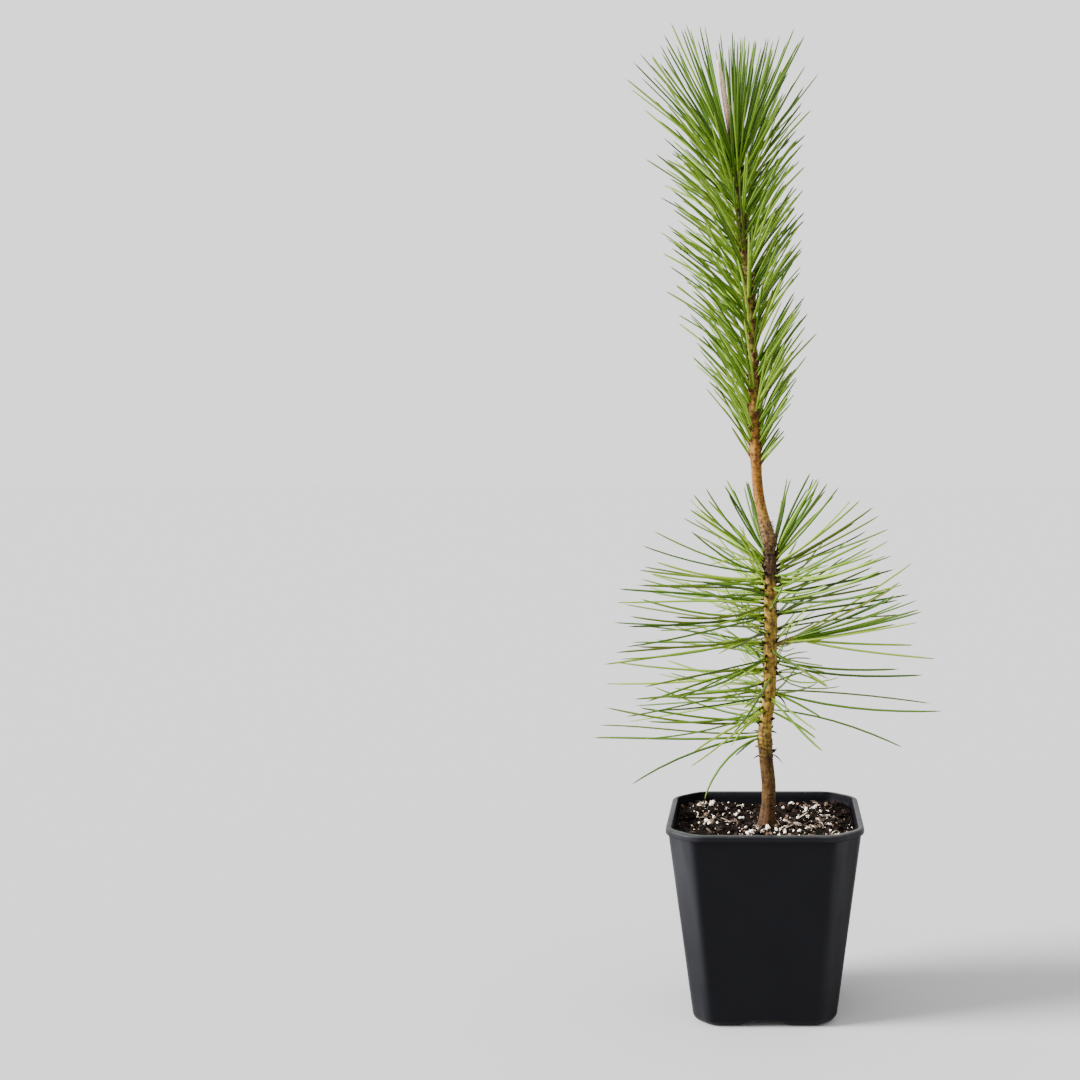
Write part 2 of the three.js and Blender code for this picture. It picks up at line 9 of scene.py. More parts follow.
import bpy
import numpy as np
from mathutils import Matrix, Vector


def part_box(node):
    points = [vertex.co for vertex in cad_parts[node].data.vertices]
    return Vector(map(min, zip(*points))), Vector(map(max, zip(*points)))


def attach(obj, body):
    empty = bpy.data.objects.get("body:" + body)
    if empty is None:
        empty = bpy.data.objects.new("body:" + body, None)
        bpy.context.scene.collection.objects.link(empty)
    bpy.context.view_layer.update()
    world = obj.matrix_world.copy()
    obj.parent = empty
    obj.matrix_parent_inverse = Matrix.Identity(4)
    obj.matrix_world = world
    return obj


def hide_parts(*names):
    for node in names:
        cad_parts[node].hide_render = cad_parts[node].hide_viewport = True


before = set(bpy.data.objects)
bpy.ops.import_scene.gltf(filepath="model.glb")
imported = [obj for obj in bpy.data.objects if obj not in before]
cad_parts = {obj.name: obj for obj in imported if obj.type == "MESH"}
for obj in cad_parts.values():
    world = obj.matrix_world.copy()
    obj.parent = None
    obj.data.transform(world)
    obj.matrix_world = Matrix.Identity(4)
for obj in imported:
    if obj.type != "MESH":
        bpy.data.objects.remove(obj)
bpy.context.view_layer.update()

bl_info = {
    "name": "Young pine in a nursery pot",
    "version": (1, 0, 0),
    "blender": (4, 5, 0),
    "location": "3D View > Sidebar > Young pine",
    "description": "Builds a potted young pine round its packed frame",
    "category": "Add Mesh",
}

METRE = 1000.0
SMALLEST = 1e-9

# A chance is the fraction of CHANCE_SWELL times the sine of CHANCE_INDEX times an index plus CHANCE_TRAIT
# times a trait's number. Noise takes its chances ROW_STRIDE further along for each row
CHANCE_INDEX = 12.9898
CHANCE_TRAIT = 78.233
CHANCE_SWELL = 43758.5453
ROW_STRIDE = 131


def node_box(node):
    """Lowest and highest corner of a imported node, in millimetres."""
    return tuple(np.array(corner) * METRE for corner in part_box(node))


# Driving sizes taken from the frame
POT_HIGH = node_box("pot")[1]
TRUNK_LOW, TRUNK_HIGH = node_box("trunk")
CANDLE_HIGH = node_box("candle")[1]
POT_HEIGHT = POT_HIGH[2]
LIP_HALF = POT_HIGH[0]
TRUNK_FOOT = TRUNK_LOW[2]
TRUNK_TIP = TRUNK_HIGH[2]
MASSES = sorted(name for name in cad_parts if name.startswith("needles_"))

# Stage: the key light's turn, the floor's half width in metres and the camera's sensor in millimetres
KEY_TURN = (math.radians(66), 0, math.radians(-78))
FLOOR_REACH = 8.0
SENSOR_WIDTH = 36.0

# Pot: the plan is a square with cut corners, each turn softened by a short curve
LIP_DEPTH = 3.4
LIP_CORNER = 13.9
LIP_LOWER_ROUND = 0.8
LIP_UPPER_ROUND = 1.1
LIP_INNER_ROUND = 0.7
NECK_HALF = 49.2
NECK_CORNER = 11.6
NECK_GAP = 0.4
FOOT_HALF = 37.0
FOOT_CORNER = 8.2
FOOT_ROUND = 5.0
FLOOR_MIDDLE = 1.5
WALL = 1.2
PLAN_SOFTNESS = 3.0
LIP_SOFTNESS = 6.5
SOFTNESS_LIMIT = 0.45
ARCH_HEIGHT = 3.3
ARCH_TOP_HALF = 8.6
ARCH_FOOT_HALF = 13.6
ARCH_EDGE = 6
ARCH_FADES = 3
DRAIN_RADIUS = 3.5
DRAIN_SPACING = 22.0
DRAIN_SIDES = 24
DRAIN_BELOW = 2.0

# The two rings under the lip, past the neck: [out, up, more corner, share of the lip's softness]
LIP_UNDER = np.array([
    [0.05, -0.15, 0.0, 0.0],
    [0.4, 0.0, 0.6, 0.5],
])

# How much sheen is painted on the cut corners and how dusty the lip is, from 0 to 1, and its speckle:
# a level, a swing, cells a millimetre, where the noise starts and its seed
CUT_SHEEN_LOW = 0.2
CUT_SHEEN_HIGH = 0.55
LIP_FACE_DUST = 0.08
LIP_CUT_DUST = 0.5
LIP_TOP_DUST = 0.88
LIP_UNDER_DUST = 0.3
LIP_INNER_DUST = 0.5
RIM_EDGE = 0.25
SPECKLE_LEVEL = 0.85
SPECKLE_SWING = 0.3
SPECKLE_NOISE = (0.35, 40, 3)

# Steps along the pot's plan and up its profile. Rows of the wall crowd towards the foot
SIDE_STEPS = 40
TURN_STEPS = 6
CORNER_STEPS = 8
CUT_STEPS = 2 * TURN_STEPS + CORNER_STEPS
CUT_EDGE = 5
FLOOR_ROWS = 26
OUTER_TURN_ROWS = 14
INNER_TURN_ROWS = 9
WALL_ROWS = 48
WALL_CROWDING = 1.3
LIP_STEPS = (6, 8, 5)

# Potting mix: heaps are (right, back, height, spread), octaves (share, cells a millimetre, start, seed)
MIX_LEVEL = 96.6
MIX_LEVEL_RADIUS = 10.0
MIX_RIPPLE = (0.8, 5.0, 6.0)
MIX_HEAPS = [(-33, 30, 4.2, 15), (30, 30, 3.8, 14), (36, -18, 1.6, 13), (-36, -12, 1.2, 13)]
MIX_RINGS = 70
MIX_MIDDLE = 0.02
MIX_FLOOR_ROWS = 12
MIX_TURN_ROWS = 5
MIX_EDGE = 2
MIX_CLEAR = 0.12
MIX_GRAIN = 0.9
MIX_OCTAVES = [(0.5, 0.45, 50, 21), (0.35, 1.1, 90, 22), (0.25, 2.4, 150, 23)]
MIX_HOLLOW_SHADE = 1.4
PLAN_WRAP = 1000

# What is strewn on the mix. Clusters are (right, back, spread, number). A radius is (least, what chance adds,
# the chance's power), a length or width the same without the power. The second share is that of the kind's
# second colour
PERLITE = {
    "seed": 5000, "margin": 1.6, "radius": (0.26, 1.05, 4), "flatness": 0.85, "sunk": 0.35,
    "second_share": 0.45,
    "clusters": [
        (-33, 32, 7, 50), (-30, 2, 3.5, 44), (-32, 14, 3.5, 30), (12, 10, 4, 34), (27, 24, 5, 50),
        (31, -4, 5, 46), (31, 10, 4, 34), (0, -12, 7, 46), (-12, -22, 6, 36), (14, -19, 6, 34),
        (-24, -42, 10, 116), (4, -43, 10, 110), (28, -42, 9, 112), (-40, -36, 5, 50), (42, -30, 5, 36),
    ],
}
CHIPS = {
    "seed": 9000, "margin": 1.8, "radius": (0.6, 1.6, 2), "flatness": 0.5, "sunk": 0.55,
    "second_share": 0.36,
    "clusters": [(0, -43, 16, 90), (-38, 10, 8, 50), (38, 4, 8, 50)],
}
SHREDS = {
    "seed": 13000, "margin": 4.5, "length": (2.2, 5.4), "width": (0.24, 0.4), "second_share": 0.6,
    "clusters": [(18, -4, 7, 42), (-28, 8, 8, 16), (36, 8, 6, 12)],
}
CLUSTER_SHARE = 0.98
OFF_TRUNK = 0.3

# Lumps: corners round, rows as far up and down as the pole's angle, how far the corners go in and out, the
# three axes, and how they are turned
LUMP_SIDES = 7
LUMP_ROWS = 5
LUMP_POLE = 68
LUMP_UNEVEN = (0.45, 0.95)
LUMP_AXES = (1.0, 0.8, 1.0)
LUMP_TILT = 70
LUMP_ASIDE = 50
LUMP_STRIDE = 3.7

# Shreds: tilt and roll in degrees, a lift as a share of the grain, then as shares of the length how much a
# tilted one is held up, bowed and arched, and last the section
SHRED_TILT = 44
SHRED_ROLL = (35, 1.7)
SHRED_LIFT = 0.35
SHRED_HELD = 0.5
SHRED_THIRDS = (0.33, 0.67)
SHRED_BOW = 0.5
SHRED_ARCH = 0.25
SHRED_SIDES = 6
SHRED_TAPER = np.array([0.35, 0.8, 1.0, 0.95, 1.0, 0.8, 0.3])
SHRED_FLATNESS = 0.28

# Trunk: where its centre stands at each height, as [height, right, back]
TRUNK_LEAN = np.array([
    [TRUNK_FOOT, 0.6, 0.0],
    [114, 2.1, 0.3],
    [144, -0.1, 0.7],
    [167, 2.3, 0.5],
    [200, 2.9, 0.0],
    [238, 2.7, -0.4],
    [247, 2.3, -0.4],
    [255, 0.6, -0.3],
    [273, -3.4, 0.3],
    [301, -5.3, 0.9],
    [346, -6.6, 1.2],
    [381, -9.1, 1.4],
    [416, -12.6, 1.7],
    [TRUNK_TIP, -16.0, 2.0],
])
FIRST_YEAR_TAPER = (3.8, 3.55, 251)
SECOND_YEAR_TAPER = (3.05, 2.25, 265)
ROOT_FLARE = (1.4, 5)
KNUCKLES = [(142, 0.35, 5), (247, 0.3, 7)]
TRUNK_SUNK = 3.0
TRUNK_ROWS = 900
TRUNK_SIDES = 72
TIP_ROUND = 3.5

# What the bark is slimmer by under its relief, and the buttresses over the roots: out, fade, number, start.
# A zone is (low, full, ebb, high), the heights between which something comes and goes
BARK_ALLOWANCE = 0.15
WAIST = (241, 0.95, 4.5)
FIRST_YEAR_SLIMMER = 0.2
SLIMMER_ZONE = (140, 155, 225, 240)
BUTTRESS = (0.5, 4, 5, 0.8)

# Bark relief: noises are (cells round the trunk, millimetres high, seed), heights are in millimetres
BARK_NOISE = {
    "wobble": (6, 9, 31), "furrows": (11, 7, 32), "finer furrows": (23, 3.2, 33), "flakes": (17, 2.2, 34),
    "fine": (34, 1.1, 35), "streaks": (19, 14, 36),
}
RELIEF = {
    "furrows": 0.13, "flakes": 0.16, "old fine": 0.05, "streaks": 0.05, "young fine": 0.03, "rings": 0.22,
}
OLD_BARK_ENDS = (250, 264)
RINGED_KNUCKLE = (232, 238, 255, 263)
RINGED_FOOT = (129, 134, 145, 151)
# Painted shade: the grooves between the foot's rings are darker still
FOOT_RINGS_DARKER = 1.5
RING_SPACING = 2.3
RING_WOBBLE = 0.8
RING_BREAKS = (0.7, 0.3)
FINER_SHARE = 0.6
# Painted shade: darker in the crevices of the old bark and in the grooves between the rings
CREVICE_SHADE = (0.35, 1.3)
CREVICE_DARK = 0.6
RING_SHADE = (0.3, 1.0)
RING_DARK = 0.4

# The cushion under each pair: the heights it may reach as (shift, half), how far it goes down, up and aside,
# then the scar on it, and for each year's growth how far the cushion stands out and how dark the scar is
CUSHION_WINDOW = (2, 8)
CUSHION_DOWN = 3.2
CUSHION_UP = 0.8
CUSHION_HALF = 0.75
SCAR_DROP = 0.2
SCAR_UP = 0.85
SCAR_HALF = 0.8
FIRST_CUSHION = (0.34, 0.95)
SECOND_CUSHION = (0.26, 0.85)

# Small scales strewn on the bark, (number, low, high) in each zone. A stand is (steepest, what chance takes
# off, the chance's power), a length or width is (least, what chance adds)
SCALE_SEED = 17000
SCALES_ON = [(80, 244, 258), (70, 128, 236)]
SCALE_STAND = (62, 40, 3)
SCALE_LENGTH = (1.1, 1.5)
SCALE_WIDTH = (0.35, 0.3)
SCALE_CURL = 90
SCALE_FLATNESS = 0.3

# Dry curls that hang on the bark: [height, azimuth, stand, length, width, curl]
CURL_SEED = 18000
CURL_FLATNESS = 0.7
DRY_CURLS = np.array([
    [166.3, 350, -6, 11, 0.62, 62],
    [148.4, 356, 60, 2.6, 0.6, -20],
    [146.8, 2, 0, 3, 0.7, 30],
    [136.6, 8, 35, 2.8, 0.7, 60],
    [135.6, 4, 10, 3.6, 0.8, -50],
    [134.6, 352, -10, 8, 0.45, 40],
    [147, 178, 5, 2.8, 0.6, 0],
    [134, 183, -20, 3.4, 0.6, 10],
    [142.5, 178, 10, 1.8, 0.6, 30],
    [139, 182, 0, 1.8, 0.6, 20],
    [160, 178, 25, 3.5, 0.4, 70],
    [139, 240, -10, 4, 0.5, 40],
    [145, 60, -15, 5, 0.5, 50],
    [137, 100, -20, 4, 0.5, -30],
    [250, 15, 30, 3.2, 0.55, 30],
    [246.5, 350, 5, 2.8, 0.6, -20],
    [251, 170, 10, 2.2, 0.5, 20],
])

# Stretches of a scale or curl: (share of its sway, share of its curl, share of its length)
PEEL_STRETCHES = [(0.3, 0.0, 0.25), (0.7, 0.6, 0.4), (1.0, 1.3, 0.45)]
PEEL_TAPER = np.array([0.9, 1.0, 1.0, 0.9, 0.7, 0.45, 0.12])
PEEL_SWAY = 60
PEEL_SUNK = 0.25
PEEL_SIDES = 6

# Candle and side shoot, and the overlapping scales on both
CANDLE_TIP = np.array([-24.4, 2.4, CANDLE_HIGH[2] - 0.4])
CANDLE_RADIUS = 1.7
CANDLE_TAPER = 0.7
CANDLE_NOSE = 9
CANDLE_SUNK = 2.5
SHOOT_HEIGHT = 192.0
SHOOT_TIP = np.array([16.9, -1.6, 197.7])
SHOOT_RADIUS = 1.05
SHOOT_SWELL = (0.9, 1.05)
SHOOT_NOSE = 8
SHOOT_END = 0.05
SHOOT_SUNK = 0.6
BUNCH_STEM = 4.0
SCALY_SIDES = 36
SCALES_ROUND = 5
SCALE_POINT = 1.1
SCALE_NOISE = (0.5, 7, 41)
SCALE_SHADE = (0.1, 0.5)
SCALE_FADES = 4
SCALY_ASIDE = np.array([0.3, 1.0, 0.1])

# Needles: pairs that wind up each year's growth by the golden angle.
# Stations are [height, rise, length, lift, hook, lean], as in the source.
GOLDEN_ANGLE = 137.508
PAIR_SPREAD = 9.0
PAIR_STEP = 0.8
PAIR_RISE = 1.8
PAIR_SHORTER = 0.04
LEAN_SHORTENS = 0.008
EXTRA_FROM = 1000
EXTRA_SHORTER = 0.06
EXTRA_WILDER = 1.6
FIRST_YEAR = {
    "foot": 142, "head": 242, "pairs": 70, "crowding": 1.65, "extra_crowding": 2.3,
    "scatter": {"turn": 16, "rise": 10, "length": 0.13, "bend": 22},
    "stations": [
        [142, -10, 72, 4, 6, 0],
        [158, -5, 82, -5, -5, 0],
        [173, -2, 88, -6, -6, 0],
        [187, 0, 88, -6, -4, 0],
        [198, 3, 85, -4, -4, 3],
        [208, 6, 82, -4, -5, 6],
        [219, 9, 78, -4, -4, 7],
        [228, 14, 74, -4, -6, 6],
        [233, 24, 67, -4, -6, 3],
        [237, 38, 60, -3, -4, 0],
        [242, 62, 46, 0, 0, 0],
    ],
}
SECOND_YEAR = {
    "foot": 289, "head": 451, "pairs": 94, "crowding": 1.5, "extra_crowding": 1.15,
    "scatter": {"turn": 16, "rise": 8, "length": 0.2, "bend": 8},
    "stations": [
        [289, 58, 20, 3, 3, -1],
        [296, 56, 33, 3, 3, -1],
        [304, 53, 43, 4, 4, 1],
        [327, 51, 49, 4, 4, 5],
        [350, 49, 51, 4, 4, 10],
        [374, 46, 52, 4, 4, 9],
        [395, 44, 52, 4, 4, 9],
        [415, 43, 55, 4, 4, 6],
        [431, 46, 61, 3, 3, 5],
        [437, 50, 70, 3, 2, 4],
        [442, 57, 76, 2, 1, 3],
        [447, 69, 72, 1, 0, 3],
        [451, 84, 63, 0, 0, 4],
    ],
}

# The tuft's own extra pairs, which lean out to the left with the trunk
TUFT = {
    "foot": 433, "head": 451, "extra_crowding": 1,
    "scatter": {"turn": 16, "rise": 12, "length": 0.16, "bend": 8},
    "stations": [
        [433, 48, 58, 3, 3, 2],
        [440, 52, 74, 2, 2, 6],
        [446, 60, 77, 1, 1, 9],
        [451, 76, 64, 0, 0, 6],
    ],
}

# Short, light, kinked needles close to the first year's trunk, more of them on the left
STRAYS = {
    "foot": 150, "head": 234, "extra_crowding": 1,
    "scatter": {"turn": 60, "rise": 80, "length": 0.55, "bend": 110},
    "stations": [
        [150, 10, 30, 0, 0, 0],
        [190, 20, 40, 0, 0, 0],
        [234, 25, 34, 0, 0, 0],
    ],
}
UPPER_EXTRA_FROM = 2000
LAST_FROM = 3000
TUFT_FROM = 5000
STRAY_FROM = 6000
YOUNG_FROM = FIRST_YEAR["head"] + 5
STRAY_SLIMMER = 0.7
STRAY_RIGHT = (0.1, 0.35)

# Needles that dropped: all below a height and beyond a cosine of azimuth, on the right and on the left, and
# shares of those in the sparse stretches (low, high, cosine, share, first index)
THINNED = (188, 0.5)
LEFT_THINNED = (153, -0.6)
EXTRA_THINNED = 12
SPARSE = [
    (140, 214, 0.3, 0.4, 0),
    (335, 432, 0.15, 0.38, EXTRA_FROM),
    (432, 453, 0.15, 0.25, EXTRA_FROM),
    (239.3, 245, -1.1, 0.6, EXTRA_FROM),
]

# The long needles left low on the trunk, and the tuft's outermost ones on the left:
# [height, azimuth, rise, length, lift, hook]
LAST_NEEDLES = np.array([
    [144.5, 181, -0.5, 87.5, -6, 1],
    [146.0, 176, 2, 85, -9, 3],
    [144.0, 166, -23, 77, 12, 13],
    [143.5, 203, -45, 42.5, 34, 30],
    [143.0, 150, -38, 18, 6, 6],
    [152.0, 178, 5, 82, -13, -6],
    [153.5, 189, 7, 64, -12, -5],
    [154.0, 168, 14, 60, -12, -6],
    [167.5, 358, -6, 88, -11, -7],
    [168.5, 5, -5.5, 83, 5, 4],
    [167.0, 340, -23, 27, 5, 5],
    [158.0, 2, -16.5, 71, 13, 10],
    [157.0, 345, -29, 26, 8, 8],
    [183.0, 357, -4, 77, -12, -8],
    [184.5, 8, -5, 66, -10, -8],
    [173.0, 20, 17, 16, 4, 4],
    [440.0, 179, 41, 73, 3, 2],
    [442.5, 186, 46, 73, 2, 2],
    [444.5, 173, 50, 75, 2, 1],
    [447.5, 184, 61, 71, 1, 0],
])
BUNCH_PAIRS = 7
BUNCH_FAN = 33
BUNCH_RISE = (-6, 30)
BUNCH_LENGTH = (44, 73)

# In the bunch: lift and hook, how far a pair's two needles stand apart in azimuth and rise, powers of the
# shares of rise and length, and how far along the shoot, aside and up or down the roots are scattered
BUNCH_BEND = (-4.0, -5.0)
BUNCH_APART = (3, 2)
BUNCH_CROWDING = 0.7
BUNCH_LONGER = 0.5
BUNCH_SPOTS = np.array([-9.5, 0.5, 0.5])

# What varies from pair to pair or grain to grain, each with a row of chances of its own
TRAITS = [
    "turn", "spread", "rise", "length", "bend", "split", "match", "fan", "reach", "kind", "sway", "curl",
    "place", "size", "aim", "shape", "depth",
]
TRAIT = {name: number + 1 for number, name in enumerate(TRAITS)}

# Rows of a needle from root to tip, and the material of each stretch: 0 body, 1 base, 2 tip
NEEDLE_ROWS = np.array([0, 0.02, 0.07, 0.16, 0.3, 0.45, 0.6, 0.75, 0.88, 0.96, 1.0])
NEEDLE_BANDS = np.array([1, 1, 0, 0, 0, 0, 0, 0, 0, 2])
NEEDLE_SIDES = 5
NEEDLE_TWIST = 0.9
NEEDLE_FOOT = (0.72, 0.1)
NEEDLE_SLIMS = 5
NEEDLE_BLUNTNESS = 16
NEEDLE_LEAST = 0.08
SLIMMER_YOUNG = 0.9

# How a needle stands: its sways in degrees, its root in the bark, and how clear it keeps of the limbs from a
# row on
NEEDLE_SWAY = 14
NEEDLE_SWING = 18
ROOT_SUNK = 0.4
ROOTS_APART = 0.28
ROOTS_STEPPED = 0.25
NEEDLE_CLEAR = 0.9
NEEDLE_FREE_FROM = 3
LIMB_DOTS = 24

# Sheaths and pegs: rows along them, their half widths there and what chance gives their lengths
CONE_SIDES = 7
CONE_ASIDE = np.array([0.1, 0.2, 1.0])
SHEATH_RUN = np.array([0, 0.35, 0.8, 1.0])
SHEATH_HALF = 0.78 * np.array([1.25, 1.1, 0.95, 0.7])
SHEATH_FLATNESS = 0.8
SHEATH_VARIES = (0.75, 0.5)
PEG_SHARE = 0.4
PEG_DROOP = 50
PEG_SUNK = 0.3
PEG_LENGTH = (1.3, 2.2)
PEG_RUN = np.array([0, 0.4, 0.85, 1.0])
PEG_HALF = np.array([0.75, 0.6, 0.48, 0.25])

# Greens, which are also the ends of their colours' names, for each part of the plant the cumulative share of
# each, and the heights where two of the parts start
GREENS = ["deep", "green", "mid", "fresh", "yellow", "olive"]
KIND_SHARES = {
    "lower": [0.19, 0.49, 0.69, 0.79, 0.82, 1.01],
    "upper": [0.13, 0.41, 0.71, 0.92, 0.96, 1.01],
    "crown": [0.27, 0.6, 0.85, 0.96, 0.98, 1.01],
    # The tuft's core gets the darkest greens: painted shade where its needles crowd
    "core": [0.4, 0.82, 0.95, 0.985, 0.99, 1.01],
    "stray": [0.02, 0.06, 0.2, 0.6, 0.98, 1.01],
    "last": [0.3, 0.7, 0.8, 0.81, 0.82, 1.01],
}
CROWN_FROM = 425
SHADED_CORE_FROM = 441

# Plain finishes: roughness, specular level, and the scale and strength of the fine relief, all as deep
PLAIN_RELIEF = 0.0002
PLAIN_FINISHES = {
    "perlite": (0.9, 0.1, 1500, 0.6), "chip": (0.85, 0.04, 900, 0.8), "brown chip": (0.85, 0.06, 900, 0.8),
    "shred": (0.8, 0.1, 1200, 0.6), "scale": (0.8, 0.3, 1500, 0.5), "curl": (0.75, 0.3, 1500, 0.5),
    "needle": (0.45, 0.12, 900, 0.15), "needle end": (0.5, 0.2, 1500, 0.2), "sheath": (0.7, 0.12, 1500, 0.4),
}

# What stays in sight from the front: margins beside the candle and the trunk, heights, and how far back a
# needle may still hide it, from the pot's axis
SIGHT_MARGIN = (2.6, 3.4)
CANDLE_SIGHT = 477
KNUCKLE_SIGHT = (232, 300)
UPPER_SIGHT = 440
FOOT_SIGHT = (12, 148)
CANDLE_FRONT = 1
KNUCKLE_FRONT = -2
STEM_FRONT = -4
FOOT_FRONT = -20


# Chances, noise and lines

def chance(index, trait):
    """A repeatable number from 0 to 1 for an index and a trait's number."""
    value = np.sin(index * CHANCE_INDEX + trait * CHANCE_TRAIT) * CHANCE_SWELL
    return value - np.floor(value)


def scatter(index, trait, width):
    """The same, spread evenly from minus half to plus half of a width."""
    return (chance(index, trait) - 0.5) * width


def smoothstep(value, low, high):
    """0 below low, 1 above high, and 3 s squared minus 2 s cubed between, s being the share of the way."""
    share = np.clip((value - low) / (high - low), 0, 1)
    return share * share * (3 - 2 * share)


def band(value, low, full, ebb, high):
    """0 up to low, 1 from full to ebb and 0 from high on, with smoothsteps between."""
    return smoothstep(value, low, full) * (1 - smoothstep(value, ebb, high))


def lerp(low, high, share):
    """low plus share of the way to high."""
    return low + (high - low) * share


def cloud(across, up, wrap, seed):
    """Smooth noise from -1 to 1: chances at the corners of unit cells, blended by smoothstep.
    It closes on itself after wrap cells across."""
    column, row = np.floor(across), np.floor(up)
    share_across = smoothstep(across - column, 0, 1)
    share_up = smoothstep(up - row, 0, 1)

    def corner(right, above):
        return chance((column + right) % wrap + (row + above) * ROW_STRIDE, seed)

    low = lerp(corner(0, 0), corner(1, 0), share_across)
    high = lerp(corner(0, 1), corner(1, 1), share_across)
    return 2 * lerp(low, high, share_up) - 1


def plan_cloud(x, y, cells, start, seed):
    """Noise over the pot's plan with so many cells a millimetre, started far enough along to be positive."""
    return cloud(x * cells + start, y * cells + start, PLAN_WRAP, seed)


def heading(azimuth, rise):
    """Unit vectors for azimuths and rises above the horizontal, in degrees."""
    turn, slope = np.broadcast_arrays(np.radians(azimuth), np.radians(rise))
    flat = np.cos(slope)
    return np.stack([np.cos(turn) * flat, np.sin(turn) * flat, np.sin(slope)], axis=-1)


def unit(vectors):
    """Vectors divided by their own lengths."""
    return vectors / np.maximum(np.linalg.norm(vectors, axis=-1, keepdims=True), SMALLEST)


def trunk_centre(height):
    """Points of the trunk's centre line: a cubic Hermite curve through TRUNK_LEAN by height, each slope that
    of the chord between the two neighbours, and without bend at both ends."""
    heights, offsets = TRUNK_LEAN[:, 0], TRUNK_LEAN[:, 1:]
    slopes = np.empty_like(offsets)
    slopes[1:-1] = (offsets[2:] - offsets[:-2]) / (heights[2:] - heights[:-2])[:, None]
    chords = np.diff(offsets, axis=0) / np.diff(heights)[:, None]
    slopes[0] = 1.5 * chords[0] - 0.5 * slopes[1]
    slopes[-1] = 1.5 * chords[-1] - 0.5 * slopes[-2]
    level = np.clip(height, heights[0], heights[-1])
    span = np.clip(np.searchsorted(heights, level, side="right") - 1, 0, len(heights) - 2)
    width = heights[span + 1] - heights[span]
    s = ((level - heights[span]) / width)[..., None]
    width = width[..., None]
    flat = (2 * s**3 - 3 * s**2 + 1) * offsets[span] + (3 * s**2 - 2 * s**3) * offsets[span + 1]
    bent = (s**3 - 2 * s**2 + s) * width * slopes[span] + (s**3 - s**2) * width * slopes[span + 1]
    return np.concatenate([flat + bent, np.asarray(height, float)[..., None]], axis=-1)


def trunk_radius(height):
    """Two straight tapers blended at the waist, plus an exponential flare at the foot and a bell at each
    knuckle."""
    foot, head, ends = FIRST_YEAR_TAPER
    first = lerp(foot, head, (height - TRUNK_FOOT) / (ends - TRUNK_FOOT))
    lower, upper, starts = SECOND_YEAR_TAPER
    second = lerp(lower, upper, (height - starts) / (TRUNK_TIP - starts))
    radius = lerp(first, second, smoothstep(height, ends, starts))
    radius = radius + ROOT_FLARE[0] * np.exp((TRUNK_FOOT - height) / ROOT_FLARE[1])
    for level, rise, spread in KNUCKLES:
        radius = radius + rise * np.exp(-(((height - level) / spread) ** 2))
    return radius


def bezier(start, first, last, end, run):
    """Points and unit tangents of cubic Bezier curves, shape (curves, rows, 3), at the shares in run."""
    t = run[None, :, None]
    a, b, c, d = (point[:, None] for point in (start, first, last, end))
    points = (1 - t) ** 3 * a + 3 * (1 - t) ** 2 * t * b + 3 * (1 - t) * t**2 * c + t**3 * d
    along = (1 - t) ** 2 * (b - a) + 2 * (1 - t) * t * (c - b) + t**2 * (d - c)
    return points, unit(along)


# Skins: a skin is its points and a list of face arrays

def ring_quads(rows, sides):
    """Quads between neighbouring rings, ring r's corner c being vertex r times sides plus c."""
    row = np.arange(rows - 1)[:, None] * sides
    here = np.arange(sides)[None, :]
    after = (here + 1) % sides
    quads = np.stack([row + here, row + after, row + sides + after, row + sides + here], axis=-1)
    return quads.reshape(-1, 4)


def tubes(rings):
    """Closed skin through rings of shape (tubes, rows, sides, 3), with a fan over each end.
    The sides run against the clock as seen from the head."""
    count, rows, sides, _ = rings.shape
    ends = rings[:, [0, -1]].mean(axis=2)
    points = np.concatenate([rings.reshape(count, -1, 3), ends], axis=1)
    here = np.arange(sides)
    after = (here + 1) % sides
    last = (rows - 1) * sides
    foot = np.stack([after, here, np.full(sides, rows * sides)], axis=-1)
    head = np.stack([last + here, last + after, np.full(sides, rows * sides + 1)], axis=-1)
    shift = np.arange(count)[:, None, None] * (rows * sides + 2)
    quads = (ring_quads(rows, sides)[None] + shift).reshape(-1, 4)
    fans = (np.concatenate([foot, head])[None] + shift).reshape(-1, 3)
    return points.reshape(-1, 3), [quads, fans]


def tube_bands(count, sides, bands):
    """The material number of each face of tubes(): bands gives one for each stretch between rings."""
    walls = np.tile(np.repeat(bands, sides), count)
    fans = np.tile(np.repeat([bands[0], bands[-1]], sides), count)
    return np.concatenate([walls, fans])


def whole_bands(numbers, rows, sides):
    """The material number of each face of tubes(), with one number for each whole tube."""
    return np.concatenate([np.repeat(numbers, (rows - 1) * sides), np.repeat(numbers, 2 * sides)])


def across(points, along, side, width, thickness, sides):
    """Elliptic rings round lines: width times the cosine along side, thickness times the sine along
    the vector square to side and to the line. side is one vector a line, or one for each of its rows."""
    side = np.broadcast_to(side if side.ndim == 3 else side[:, None], along.shape)
    over = unit(np.cross(along, side))
    turn = np.arange(sides) * 2 * np.pi / sides
    right = side[:, :, None] * (np.cos(turn)[:, None] * width[..., None, None])
    above = over[:, :, None] * (np.sin(turn)[:, None] * thickness[..., None, None])
    return points[:, :, None] + right + above


